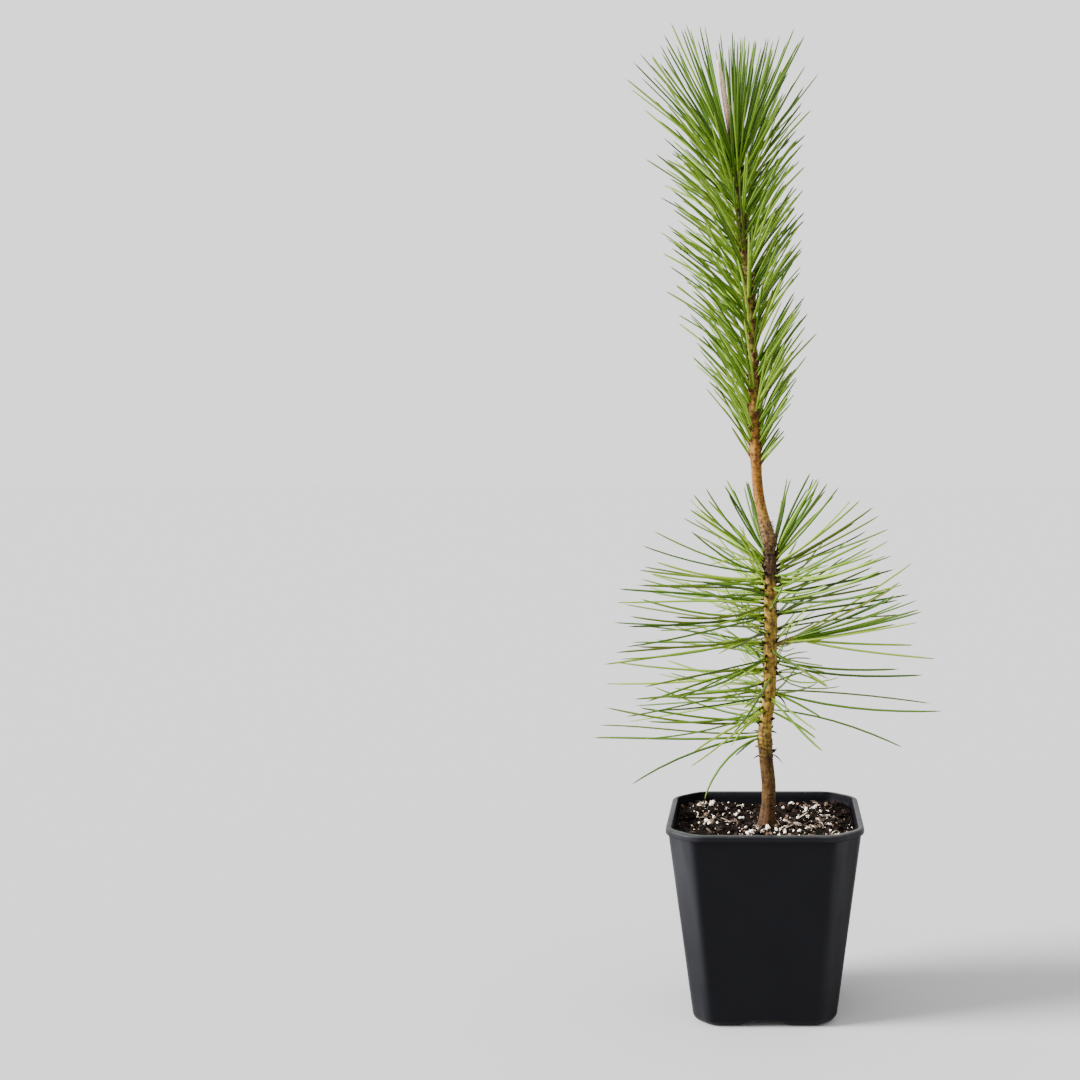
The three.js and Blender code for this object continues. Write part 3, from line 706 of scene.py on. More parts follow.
def add_piece(name, skin, materials, stands_for=(), bands=None, marks=None, smooth=True):
    """Puts a skin into a mesh, gives it its materials, and lets it ride on the plant's one body."""
    points, faces = skin
    mesh = bpy.data.meshes.new(name)
    corners = np.concatenate([each.ravel() for each in faces]).astype(np.int32)
    sides = np.concatenate([np.full(len(each), each.shape[1]) for each in faces])
    mesh.vertices.add(len(points))
    mesh.vertices.foreach_set("co", (points / METRE).astype(np.float32).ravel())
    mesh.loops.add(len(corners))
    mesh.loops.foreach_set("vertex_index", corners)
    mesh.polygons.add(len(sides))
    mesh.polygons.foreach_set("loop_start", np.concatenate([[0], np.cumsum(sides)[:-1]]).astype(np.int32))
    for material in materials:
        mesh.materials.append(material)
    if bands is not None:
        mesh.polygons.foreach_set("material_index", bands.astype(np.int32))
    mesh.polygons.foreach_set("use_smooth", np.full(len(sides), smooth))
    if marks is not None:
        layer = mesh.attributes.new("mark", "FLOAT", "POINT")
        layer.data.foreach_set("value", marks.astype(np.float32))
    mesh.update(calc_edges=True)
    mesh.validate()
    piece = bpy.data.objects.new(name, mesh)
    bpy.context.scene.collection.objects.link(piece)
    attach(piece, "root")
    if stands_for:
        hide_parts(*stands_for)
    return piece


# Shader groups and materials

def add_node(tree, kind, values=None, **traits):
    """A shader node with its properties and its unlinked sockets set."""
    made = tree.nodes.new(kind)
    for trait, value in traits.items():
        setattr(made, trait, value)
    for socket, value in (values or {}).items():
        made.inputs[socket].default_value = value
    return made


def new_group(name, inputs, outputs):
    """An empty shader group with named sockets, and its input and output nodes."""
    tree = bpy.data.node_groups.new(name, "ShaderNodeTree")
    for label, kind, value in inputs:
        tree.interface.new_socket(label, in_out="INPUT", socket_type=kind).default_value = value
    for label, kind in outputs:
        tree.interface.new_socket(label, in_out="OUTPUT", socket_type=kind)
    return tree, tree.nodes.new("NodeGroupInput"), tree.nodes.new("NodeGroupOutput")


NUMBER = "NodeSocketFloat"
VECTOR = "NodeSocketVector"
COLOUR = "NodeSocketColor"


def mottle_group():
    """Two colours blended in soft-edged patches: noise at Scale, spread from Low to High."""
    tree, given, out = new_group(
        "Mottle",
        [("Vector", VECTOR, (0, 0, 0)), ("Stretch", VECTOR, (1, 1, 1)), ("Scale", NUMBER, 100),
         ("Low", NUMBER, 0.4), ("High", NUMBER, 0.6), ("Ground", COLOUR, (0, 0, 0, 1)),
         ("Patches", COLOUR, (1, 1, 1, 1))],
        [("Color", COLOUR), ("Mask", NUMBER)],
    )
    squash = add_node(tree, "ShaderNodeVectorMath", operation="MULTIPLY")
    noise = add_node(tree, "ShaderNodeTexNoise", {"Detail": 4, "Roughness": 0.6})
    spread = add_node(tree, "ShaderNodeMapRange")
    blend = add_node(tree, "ShaderNodeMix", data_type="RGBA")
    tree.links.new(given.outputs["Vector"], squash.inputs[0])
    tree.links.new(given.outputs["Stretch"], squash.inputs[1])
    tree.links.new(squash.outputs[0], noise.inputs["Vector"])
    tree.links.new(given.outputs["Scale"], noise.inputs["Scale"])
    tree.links.new(noise.outputs["Fac"], spread.inputs["Value"])
    tree.links.new(given.outputs["Low"], spread.inputs["From Min"])
    tree.links.new(given.outputs["High"], spread.inputs["From Max"])
    tree.links.new(spread.outputs["Result"], blend.inputs["Factor"])
    tree.links.new(given.outputs["Ground"], blend.inputs["A"])
    tree.links.new(given.outputs["Patches"], blend.inputs["B"])
    tree.links.new(blend.outputs["Result"], out.inputs["Color"])
    tree.links.new(spread.outputs["Result"], out.inputs["Mask"])
    return tree


def relief_group():
    """A fine bumpy normal from noise at Scale, as high as Distance."""
    tree, given, out = new_group(
        "Fine relief",
        [("Vector", VECTOR, (0, 0, 0)), ("Stretch", VECTOR, (1, 1, 1)), ("Scale", NUMBER, 500),
         ("Strength", NUMBER, 0.3), ("Distance", NUMBER, 0.0002)],
        [("Normal", VECTOR)],
    )
    squash = add_node(tree, "ShaderNodeVectorMath", operation="MULTIPLY")
    noise = add_node(tree, "ShaderNodeTexNoise", {"Detail": 3})
    bump = add_node(tree, "ShaderNodeBump")
    tree.links.new(given.outputs["Vector"], squash.inputs[0])
    tree.links.new(given.outputs["Stretch"], squash.inputs[1])
    tree.links.new(squash.outputs[0], noise.inputs["Vector"])
    tree.links.new(given.outputs["Scale"], noise.inputs["Scale"])
    tree.links.new(noise.outputs["Fac"], bump.inputs["Height"])
    tree.links.new(given.outputs["Strength"], bump.inputs["Strength"])
    tree.links.new(given.outputs["Distance"], bump.inputs["Distance"])
    tree.links.new(bump.outputs["Normal"], out.inputs["Normal"])
    return tree


def shader_group(name):
    """The shader group of that name, made the first time that it is asked for."""
    makers = {"Mottle": mottle_group, "Fine relief": relief_group}
    return bpy.data.node_groups.get(name) or makers[name]()


class Finish:
    """A material with one Principled shader, its place in the object as a vector, and ways to add to it."""

    def __init__(self, name, colour, roughness, specular):
        self.material = bpy.data.materials.new(name)
        self.material.use_nodes = True
        self.material.diffuse_color = (*colour, 1)
        self.tree = self.material.node_tree
        self.shader = self.tree.nodes["Principled BSDF"]
        self.shader.inputs["Base Color"].default_value = (*colour, 1)
        self.shader.inputs["Roughness"].default_value = roughness
        self.shader.inputs["Specular IOR Level"].default_value = specular
        self.place = self.tree.nodes.new("ShaderNodeTexCoord").outputs["Object"]

    def group(self, name, values):
        """A shader group in this material, fed with the place in the object."""
        made = self.tree.nodes.new("ShaderNodeGroup")
        made.node_tree = shader_group(name)
        self.tree.links.new(self.place, made.inputs["Vector"])
        for label, value in values.items():
            if isinstance(value, bpy.types.NodeSocket):
                self.tree.links.new(value, made.inputs[label])
            else:
                made.inputs[label].default_value = value
        return made

    def relief(self, scale, strength, distance, stretch=(1, 1, 1)):
        """Bumps too fine for the mesh."""
        values = {"Scale": scale, "Strength": strength, "Distance": distance, "Stretch": stretch}
        made = self.group("Fine relief", values)
        self.tree.links.new(made.outputs["Normal"], self.shader.inputs["Normal"])

    def mark(self):
        """The mesh's own mark, from 0 to 1."""
        return add_node(self.tree, "ShaderNodeAttribute", attribute_name="mark").outputs["Fac"]

    def height(self, low, high):
        """0 at the height low and 1 at the height high, in millimetres."""
        parts = self.tree.nodes.new("ShaderNodeSeparateXYZ")
        values = {"From Min": low / METRE, "From Max": high / METRE}
        spread = add_node(self.tree, "ShaderNodeMapRange", values)
        self.tree.links.new(self.place, parts.inputs[0])
        self.tree.links.new(parts.outputs["Z"], spread.inputs["Value"])
        return spread.outputs["Result"]

    def ramp(self, factor, stops):
        """Colours along a factor: stops are (share, colour)."""
        made = self.tree.nodes.new("ShaderNodeValToRGB")
        elements = made.color_ramp.elements
        while len(elements) < len(stops):
            elements.new(0.5)
        for element, (share, colour) in zip(elements, stops):
            element.position = share
            element.color = (*colour, 1)
        self.tree.links.new(factor, made.inputs["Fac"])
        return made.outputs["Color"]

    def blend(self, factor, ground, top, kind="MIX"):
        """ground under top, by factor. The factor is a socket or a number, the others sockets or colours."""
        made = add_node(self.tree, "ShaderNodeMix", data_type="RGBA", blend_type=kind)
        for name, value in (("Factor", factor), ("A", ground), ("B", top)):
            socket = made.inputs[name]
            if isinstance(value, bpy.types.NodeSocket):
                self.tree.links.new(value, socket)
            else:
                socket.default_value = value if isinstance(value, float) else (*value, 1)
        return made.outputs["Result"]

    def dappled(self, ground, patches):
        """ground multiplied by the colour of a group of patches."""
        return self.blend(1.0, ground, patches.outputs["Color"], "MULTIPLY")

    def colour(self, socket):
        """The colour that varies over the surface."""
        self.tree.links.new(socket, self.shader.inputs["Base Color"])

    def roughness(self, factor, low, high):
        """Roughness from low to high along a factor."""
        spread = add_node(self.tree, "ShaderNodeMapRange", {"To Min": low, "To Max": high})
        self.tree.links.new(factor, spread.inputs["Value"])
        self.tree.links.new(spread.outputs["Result"], self.shader.inputs["Roughness"])


def plastic_material(colours):
    """Satin black moulded plastic: the mark goes from black over a painted sheen on the corners to the dusty
    rim.
    """
    finish = Finish("satin_black_plastic", colours.plastic, roughness=0.4, specular=0.07)
    stops = [(0, colours.plastic), (0.5, colours.plastic_corner_sheen), (1, colours.plastic_dust)]
    patches = finish.group("Mottle", {
        "Scale": 38, "Low": 0.35, "High": 0.7, "Ground": (1, 1, 1, 1), "Patches": (0.8, 0.8, 0.82, 1),
    })
    finish.colour(finish.dappled(finish.ramp(finish.mark(), stops), patches))
    finish.roughness(patches.outputs["Mask"], low=0.36, high=0.46)
    finish.relief(scale=1500, strength=0.12, distance=0.0001)
    return finish.material


def bark_material(colours):
    """Bark by height in millimetres: dark at the mix, brown, tan, a dark knuckle, grey rings, golden, orange,
    then brown, mossy and olive towards the tip, with long streaks, fine rings and patches, and dark where the
    mark says scar, and where it gives painted shade in the crevices and the grooves between the rings."""
    finish = Finish("young_pine_bark", colours.bark_tan, roughness=0.75, specular=0.12)
    stops = [
        (96, colours.bark_deep), (104, colours.bark_deep), (115, colours.bark_root),
        (132, colours.bark_root), (150, colours.bark_tan), (224, colours.bark_tan),
        (230, colours.bark_dark), (241, colours.bark_dark), (246, colours.bark_grey),
        (253, colours.bark_grey), (261, colours.bark_gold), (274, colours.bark_orange),
        (300, colours.bark_orange), (338, colours.bark_brown), (362, colours.bark_moss),
        (384, colours.bark_moss), (425, colours.bark_olive), (452, colours.bark_olive),
    ]
    low, high = stops[0][0], stops[-1][0]
    shares = [((level - low) / (high - low), colour) for level, colour in stops]
    streaks = finish.group("Mottle", {
        "Scale": 900, "Stretch": (1, 1, 0.16), "Low": 0.42, "High": 0.66,
        "Ground": (1.15, 1.15, 1.12, 1), "Patches": (0.6, 0.55, 0.5, 1),
    })
    rings = finish.group("Mottle", {
        "Scale": 480, "Stretch": (0.75, 0.75, 1.5), "Low": 0.44, "High": 0.64,
        "Ground": (1.2, 1.2, 1.18, 1), "Patches": (0.5, 0.44, 0.38, 1),
    })
    patches = finish.group("Mottle", {
        "Scale": 260, "Stretch": (1, 1, 0.5), "Low": 0.5, "High": 0.72,
        "Ground": (1.1, 1.1, 1.1, 1), "Patches": (0.56, 0.53, 0.5, 1),
    })
    worn = finish.ramp(finish.height(low, high), shares)
    for group in (streaks, rings, patches):
        worn = finish.dappled(worn, group)
    # The scar colour where the mark says scar, and as painted shade in the crevices and ring grooves
    finish.colour(finish.blend(finish.mark(), worn, colours.scar))
    finish.roughness(patches.outputs["Mask"], low=0.66, high=0.85)
    finish.relief(scale=1400, strength=0.35, distance=0.00025, stretch=(1, 1, 0.35))
    return finish.material


def bud_material(colours):
    """Papery bud scales: brown at the foot, pinkish beige above, painted shade in the crevices that the mark
    gives.
    """
    finish = Finish("papery_bud_scales", colours.bud, roughness=0.7, specular=0.3)
    stops = [(0, colours.bud_brown_and_crevice_shade), (0.2, colours.bud_brown_and_crevice_shade), (0.4, colours.bud), (1, colours.bud_pale)]
    flecks = finish.group("Mottle", {
        "Scale": 1300, "Low": 0.45, "High": 0.7,
        "Ground": (1.08, 1.08, 1.08, 1), "Patches": (0.68, 0.57, 0.5, 1),
    })
    worn = finish.dappled(finish.ramp(finish.height(TRUNK_TIP, CANDLE_HIGH[2]), stops), flecks)
    # Painted shade: the crevices between the scales take the brown of the foot
    finish.colour(finish.blend(finish.mark(), worn, colours.bud_brown_and_crevice_shade))
    finish.relief(scale=1800, strength=0.3, distance=0.0002)
    return finish.material


def shoot_material(colours):
    """Brown scales of the side shoot with patches of young green, and painted shade in the crevices."""
    finish = Finish("side_shoot_scales", colours.shoot, roughness=0.7, specular=0.3)
    flecks = finish.group("Mottle", {
        "Scale": 1100, "Low": 0.4, "High": 0.65,
        "Ground": (*colours.shoot, 1), "Patches": (*colours.shoot_green, 1),
    })
    # Painted shade in the crevices between the scales
    finish.colour(finish.blend(finish.mark(), flecks.outputs["Color"], colours.scar))
    finish.relief(scale=1500, strength=0.3, distance=0.0002)
    return finish.material


def mix_material(colours):
    """Damp potting mix: near black with brown crumbs, and painted shade in its hollows."""
    finish = Finish("damp_potting_mix", colours.mix, roughness=0.9, specular=0.04)
    crumbs = finish.group("Mottle", {
        "Scale": 420, "Low": 0.5, "High": 0.68,
        "Ground": (*colours.mix, 1), "Patches": (*colours.mix_crumb, 1),
    })
    # Painted shade: the hollows that the mark gives are near black
    finish.colour(finish.blend(finish.mark(), crumbs.outputs["Color"], colours.mix_hollow_shade))
    finish.roughness(crumbs.outputs["Mask"], low=0.7, high=0.95)
    finish.relief(scale=900, strength=0.8, distance=0.0006)
    return finish.material


def plain_material(name, colour, kind):
    """One plain base colour with one of the plain finishes, for pieces that are many small things joined."""
    roughness, specular, scale, strength = PLAIN_FINISHES[kind]
    finish = Finish(name, colour, roughness, specular)
    finish.relief(scale, strength, PLAIN_RELIEF)
    return finish.material


# Pot

def plan_ring(half, corner, height, softness=PLAN_SOFTNESS):
    """Rings of the pot's plan, shape (rows, corners, 3): a square of the given half widths with its corners
    cut, where each turn is a quadratic Bezier curve of the given softness."""
    half, corner, height = (np.asarray(value, float)[:, None] for value in (half, corner, height))
    near = half - corner
    soft = np.minimum(np.reshape(softness, (-1, 1)), SOFTNESS_LIMIT * near)
    slant = soft * math.sqrt(0.5)

    def straight(start, end, steps):
        share = np.arange(steps) / steps
        return [lerp(start[axis], end[axis], share) for axis in (0, 1)]

    def curve(start, middle, end, steps):
        share = np.arange(steps) / steps
        early, halfway, late = (1 - share) ** 2, 2 * share * (1 - share), share**2
        return [early * start[axis] + halfway * middle[axis] + late * end[axis] for axis in (0, 1)]

    stretches = [
        straight((half, soft - near), (half, near - soft), SIDE_STEPS),
        curve((half, near - soft), (half, near), (half - slant, near + slant), TURN_STEPS),
        straight((half - slant, near + slant), (near + slant, half - slant), CORNER_STEPS),
        curve((near + slant, half - slant), (near, half), (near - soft, half), TURN_STEPS),
    ]
    x, y = (
        np.concatenate([
            np.broadcast_to(each[axis], (len(half), each[axis].shape[1])) for each in stretches
        ], axis=1)
        for axis in (0, 1))
    quarters = [(x, y), (-y, x), (-x, -y), (y, -x)]
    flat = np.concatenate([np.stack(quarter, axis=-1) for quarter in quarters], axis=1)
    level = np.broadcast_to(height[..., None], (*flat.shape[:2], 1))
    return np.concatenate([flat, level], axis=-1)


def body_half(height, inset):
    """Half width of the pot's tapered body at a height, less an inset."""
    return lerp(FOOT_HALF, NECK_HALF, height / (POT_HEIGHT - LIP_DEPTH)) - inset


def body_corner(height):
    """How much is cut off each corner of the body at a height."""
    return lerp(FOOT_CORNER, NECK_CORNER, height / (POT_HEIGHT - LIP_DEPTH))


def quarter_round(centre_half, centre_height, radius, start, end, steps):
    """Half widths and heights along an arc of the wall's profile, with start and end in degrees."""
    turn = np.radians(np.linspace(start, end, steps))
    return centre_half + radius * np.cos(turn), centre_height + radius * np.sin(turn)


def foot_rows(inset, rows, steps, top):
    """Half widths, corners and heights from the middle of the floor out, in a quarter round at the foot and
    up the wall to top, all an inset within the outside."""
    radius = FOOT_ROUND - inset
    flat = np.linspace(FLOOR_MIDDLE, FOOT_HALF - FOOT_ROUND, rows)
    turn = np.linspace(0, np.pi / 2, steps)[1:]
    tuck = radius * (1 - np.sin(turn))
    arc_height = inset + radius * (1 - np.cos(turn))
    wall_height = lerp(FOOT_ROUND, top, np.linspace(0, 1, WALL_ROWS)[1:] ** WALL_CROWDING)
    half = np.concatenate([flat, body_half(arc_height, inset) - tuck, body_half(wall_height, inset)])
    corner = np.concatenate([
        (FOOT_CORNER - FOOT_ROUND / 2) * flat / flat[-1],
        body_corner(arc_height) - tuck / 2,
        body_corner(wall_height),
    ])
    height = np.concatenate([np.full(rows, inset), arc_height, wall_height])
    return half, corner, height


def lifted(rings, base):
    """Rings lifted over the two crossing arches under the pot, a flat-topped channel with sloped flanks.
    The lift is a smooth maximum: the sum of both heights' powers, back to the root."""
    reach = np.minimum(np.abs(rings[..., 0]), np.abs(rings[..., 1]))
    arch = ARCH_HEIGHT * (1 - smoothstep(reach, ARCH_TOP_HALF, ARCH_FOOT_HALF))
    above = np.maximum(rings[..., 2] - base, 0)
    lift = (above**ARCH_EDGE + arch**ARCH_EDGE) ** (1 / ARCH_EDGE)
    rings[..., 2] = np.where(above < ARCH_FADES * ARCH_HEIGHT, base + lift, rings[..., 2])
    return rings


def lip_rings(neck):
    """Rings under the lip, round its lower and upper edge and round the rim's inner edge down to the wall."""
    lower, upper, inner = LIP_STEPS
    inner_half = NECK_HALF - WALL
    low_half, low_height = quarter_round(
        LIP_HALF - LIP_LOWER_ROUND, neck + LIP_LOWER_ROUND, LIP_LOWER_ROUND, -90, 0, lower)
    high_half, high_height = quarter_round(
        LIP_HALF - LIP_UPPER_ROUND, POT_HEIGHT - LIP_UPPER_ROUND, LIP_UPPER_ROUND, 0, 90, upper)
    in_half, in_height = quarter_round(
        inner_half + LIP_INNER_ROUND, POT_HEIGHT - LIP_INNER_ROUND, LIP_INNER_ROUND, 90, 180, inner)
    out, up, cut, softer = LIP_UNDER.T
    half = np.concatenate([NECK_HALF + out, low_half, high_half, in_half])
    height = np.concatenate([neck + up, low_height, high_height, in_height])
    corner = np.full(len(half), LIP_CORNER)
    corner[:len(cut)] = NECK_CORNER + cut
    corner[-inner:] = np.linspace(LIP_CORNER, NECK_CORNER, inner)
    softness = np.full(len(half), LIP_SOFTNESS)
    softness[:len(softer)] = lerp(PLAN_SOFTNESS, LIP_SOFTNESS, softer)
    softness[-inner:] = np.linspace(LIP_SOFTNESS, PLAN_SOFTNESS, inner)
    return plan_ring(half, corner, height, softness)


def pot_skin():
    """The pot as one closed skin: under the foot, up the outside, over the lip and down the inside.
    Its marks say where sheen is painted on the plastic, on the cut corners, the higher the more, and where
    it is dusty, on the lip, most of all its rim."""
    neck = POT_HEIGHT - LIP_DEPTH
    outer = lifted(plan_ring(*foot_rows(0.0, FLOOR_ROWS, OUTER_TURN_ROWS, neck - NECK_GAP)), 0.0)
    lip = lip_rings(neck)
    inner = lifted(plan_ring(*foot_rows(WALL, FLOOR_ROWS, INNER_TURN_ROWS, neck)), WALL)[::-1]
    rings = np.concatenate([outer, lip, inner])
    column = np.arange(rings.shape[1]) % (rings.shape[1] // 4) - SIDE_STEPS
    across_cut = band(column, -1, CUT_EDGE - 1, CUT_STEPS - CUT_EDGE, CUT_STEPS)
    # Painted sheen: the cut corners are made lighter, more so higher up, in place of reflections of the light
    # and the surround
    corner_sheen = across_cut * lerp(CUT_SHEEN_LOW, CUT_SHEEN_HIGH, outer[..., 2] / neck)
    face = lerp(LIP_FACE_DUST, LIP_CUT_DUST, across_cut)
    on_rim = smoothstep(lip[..., 2], POT_HEIGHT - LIP_UPPER_ROUND, POT_HEIGHT - RIM_EDGE)
    dusty = lerp(face, LIP_TOP_DUST, on_rim)
    dusty[:len(LIP_UNDER) + 1] *= LIP_UNDER_DUST
    dusty[-2:] *= LIP_INNER_DUST
    dust_and_sheen = np.concatenate([corner_sheen, dusty, np.zeros(inner.shape[:2])])
    speckle = plan_cloud(rings[..., 0], rings[..., 1], *SPECKLE_NOISE)
    dust_and_sheen = np.clip(dust_and_sheen * (SPECKLE_LEVEL + SPECKLE_SWING * speckle), 0, 1)
    return tubes(rings[None]), np.concatenate([dust_and_sheen.ravel(), [0.0, 0.0]])


def cut_drains(pot):
    """Cuts the drain holes in the pot's floor: one in the middle and one towards each side."""
    spots = [(0, 0), (DRAIN_SPACING, 0), (-DRAIN_SPACING, 0), (0, DRAIN_SPACING), (0, -DRAIN_SPACING)]
    turn = np.arange(DRAIN_SIDES) * 2 * np.pi / DRAIN_SIDES
    ring = np.stack([np.cos(turn), np.sin(turn), np.zeros(DRAIN_SIDES)], axis=-1) * DRAIN_RADIUS
    levels = np.array([-DRAIN_BELOW, 2 * FOOT_ROUND])
    centres = np.array([(x, y, 0) for x, y in spots], float)
    rings = centres[:, None, None] + ring[None, None] + np.array([0, 0, 1.0]) * levels[None, :, None, None]
    points, faces = tubes(rings)
    mesh = bpy.data.meshes.new("drain_cutter")
    mesh.from_pydata((points / METRE).tolist(), [], [face for each in faces for face in each.tolist()])
    cutter = bpy.data.objects.new("drain_cutter", mesh)
    bpy.context.scene.collection.objects.link(cutter)
    drill = pot.modifiers.new("drains", "BOOLEAN")
    drill.object = cutter
    drill.operation = "DIFFERENCE"
    drill.solver = "MANIFOLD"
    with bpy.context.temp_override(object=pot, active_object=pot):
        bpy.ops.object.modifier_apply(modifier=drill.name)
    bpy.data.objects.remove(cutter)


# Potting mix

def mix_height(x, y):
    """Level near the trunk, then bell-shaped heaps and a gentle ripple."""
    away = smoothstep(np.hypot(x, y), MIX_LEVEL_RADIUS, 2 * MIX_LEVEL_RADIUS)
    rise, wide, deep = MIX_RIPPLE
    height = rise * np.sin(x / wide) * np.cos(y / deep)
    for right, back, heap, spread in MIX_HEAPS:
        height = height + heap * np.exp(-((x - right) ** 2 + (y - back) ** 2) / spread**2)
    return MIX_LEVEL + away * height


def mix_grain(x, y):
    """Crumbly relief from about -1 to 1: three octaves of noise."""
    return sum(share * plan_cloud(x, y, cells, start, seed) for share, cells, start, seed in MIX_OCTAVES)


def mix_skin():
    """The mix as one closed skin: across its floor, up beside the pot's wall and in over the crumbly top.
    Its marks are painted shade, darker the deeper a hollow is."""
    inset = WALL + MIX_CLEAR
    lower = lifted(plan_ring(*foot_rows(inset, MIX_FLOOR_ROWS, MIX_TURN_ROWS, MIX_LEVEL - MIX_EDGE)), inset)
    share = np.linspace(1, MIX_MIDDLE, MIX_RINGS)
    edge = body_half(MIX_LEVEL, inset)
    top = plan_ring(edge * share, body_corner(MIX_LEVEL) * share, np.full(MIX_RINGS, MIX_LEVEL))
    x, y = top[..., 0], top[..., 1]
    grain = mix_grain(x, y)
    top[..., 2] = mix_height(x, y) + MIX_GRAIN * grain
    # Painted shade in the hollows of the grain, the deeper the darker
    marks = np.concatenate([np.zeros(lower.shape[:2]), np.clip(-MIX_HOLLOW_SHADE * grain, 0, 1)])
    return tubes(np.concatenate([lower, top])[None]), np.concatenate([marks.ravel(), [0.0, 0.0]])


def inside_pot(x, y, margin):
    """True for spots inside the pot's inner plan by at least a margin."""
    half = body_half(MIX_LEVEL, WALL) - margin
    cut = 2 * half - body_corner(MIX_LEVEL)
    return (np.abs(x) < half) & (np.abs(y) < half) & (np.abs(x) + np.abs(y) < cut)


def strewn(kind, count):
    """Spots for one kind of grain on the mix: count even ones, then its clusters, at the spread times the
    square root of minus the logarithm of a chance, kept inside the pot and off the trunk. Returns x, y and
    each spot's number for further chances."""
    clusters = kind["clusters"]
    number = np.arange(count + sum(cluster[3] for cluster in clusters)) + kind["seed"]
    x = scatter(number, TRAIT["place"], 2 * NECK_HALF)
    y = scatter(number, TRAIT["aim"], 2 * NECK_HALF)
    start = count
    for right, back, spread, size in clusters:
        here = number[start:start + size]
        away = spread * np.sqrt(-np.log(1 - CLUSTER_SHARE * chance(here, TRAIT["fan"])))
        turn = 2 * np.pi * chance(here, TRAIT["turn"])
        x[start:start + size] = right + away * np.cos(turn)
        y[start:start + size] = back + away * np.sin(turn)
        start += size
    foot = trunk_centre(np.array([TRUNK_FOOT]))[0]
    off_trunk = np.hypot(x - foot[0], y - foot[1]) > trunk_radius(TRUNK_FOOT) + OFF_TRUNK
    keep = inside_pot(x, y, kind["margin"]) & off_trunk
    return x[keep], y[keep], number[keep]


def second_bands(kind, number, rows, sides):
    """For each face of tubes(), whether its grain has the kind's second colour."""
    return whole_bands((chance(number, TRAIT["kind"]) < kind["second_share"]).astype(int), rows, sides)


def lumps(kind, count):
    """Angular grains: a sphere of few faces whose corners go in and out by chance, flattened and turned at
    random. A corner lies at the radius times LUMP_UNEVEN's first number plus its second times a chance, along
    the turned axes. Returns the skin and its bands."""
    x, y, number = strewn(kind, count)
    least, more, power = kind["radius"]
    radius = least + more * chance(number, TRAIT["size"]) ** power
    polar = np.radians(np.linspace(-LUMP_POLE, LUMP_POLE, LUMP_ROWS))
    turn = np.arange(LUMP_SIDES) * 2 * np.pi / LUMP_SIDES
    corner = np.arange(LUMP_ROWS * LUMP_SIDES).reshape(LUMP_ROWS, LUMP_SIDES)
    chances = chance(number[:, None, None] * LUMP_STRIDE + corner, TRAIT["shape"])
    uneven = LUMP_UNEVEN[0] + LUMP_UNEVEN[1] * chances
    flat = np.cos(polar)[:, None] * np.stack([np.cos(turn), np.sin(turn)], axis=0)[:, None, :]
    local = np.stack([flat[0], flat[1], np.broadcast_to(np.sin(polar)[:, None], flat[0].shape)], axis=-1)
    local = local[None] * uneven[..., None] * np.array(LUMP_AXES)
    local[..., 2] *= kind["flatness"]
    tilt = scatter(number, TRAIT["rise"], LUMP_TILT)
    spin = 360 * chance(number, TRAIT["turn"])
    axis = heading(spin, 90 - np.abs(tilt))
    side = unit(np.cross(axis, heading(spin + LUMP_ASIDE, 0)))
    ahead = np.cross(axis, side)
    basis = np.stack([side, ahead, axis], axis=1)
    turned = np.einsum("nrsi,nij->nrsj", local, basis) * radius[:, None, None, None]
    level = mix_height(x, y) + MIX_GRAIN * mix_grain(x, y) + radius * (1 - kind["sunk"]) * kind["flatness"]
    centre = np.stack([x, y, level], axis=-1)
    return tubes(centre[:, None, None] + turned), second_bands(kind, number, LUMP_ROWS, LUMP_SIDES)


def shreds(kind, count):
    """Curled strips of bark that lie on the mix: a flat elliptic section along a Bezier curve that arches up.
    Returns the skin and its bands."""
    x, y, number = strewn(kind, count)
    length = kind["length"][0] + kind["length"][1] * chance(number, TRAIT["length"])
    width = kind["width"][0] + kind["width"][1] * chance(number, TRAIT["size"])
    azimuth = 360 * chance(number, TRAIT["turn"])
    tilt = scatter(number, TRAIT["rise"], SHRED_TILT)
    along = heading(azimuth, tilt)
    held = SHRED_HELD * np.abs(np.sin(np.radians(tilt))) * length
    centre = np.stack([x, y, mix_height(x, y) + SHRED_LIFT * MIX_GRAIN + held], axis=-1)
    start = centre - along * (length / 2)[:, None]
    end = centre + along * (length / 2)[:, None]
    bow = heading(azimuth + 90, 0) * scatter(number, TRAIT["bend"], 1.0)[:, None] * length[:, None]
    arch = np.array([0, 0, 1.0]) * (length * SHRED_ARCH * chance(number, TRAIT["curl"]))[:, None]
    first, last = (lerp(start, end, share) + bow * SHRED_BOW + arch for share in SHRED_THIRDS)
    points, tangent = bezier(start, first, last, end, np.linspace(0, 1, len(SHRED_TAPER)))
    side = unit(heading(azimuth + 90, SHRED_ROLL[0] * np.sin(number * SHRED_ROLL[1])))
    wide = SHRED_TAPER[None] * width[:, None]
    rings = across(points, tangent, side, wide, SHRED_FLATNESS * wide, SHRED_SIDES)
    return tubes(rings), second_bands(kind, number, len(SHRED_TAPER), SHRED_SIDES)


# Trunk

def all_roots():
    """Height and azimuth of every pair's root on the trunk, standing or dropped, and whether it is the first
    year's."""
    needles = wound_needles()
    pairs = chosen(needles, needles["hand"] < 0)
    return pairs["height"], pairs["quarter"], pairs["height"] < YOUNG_FROM


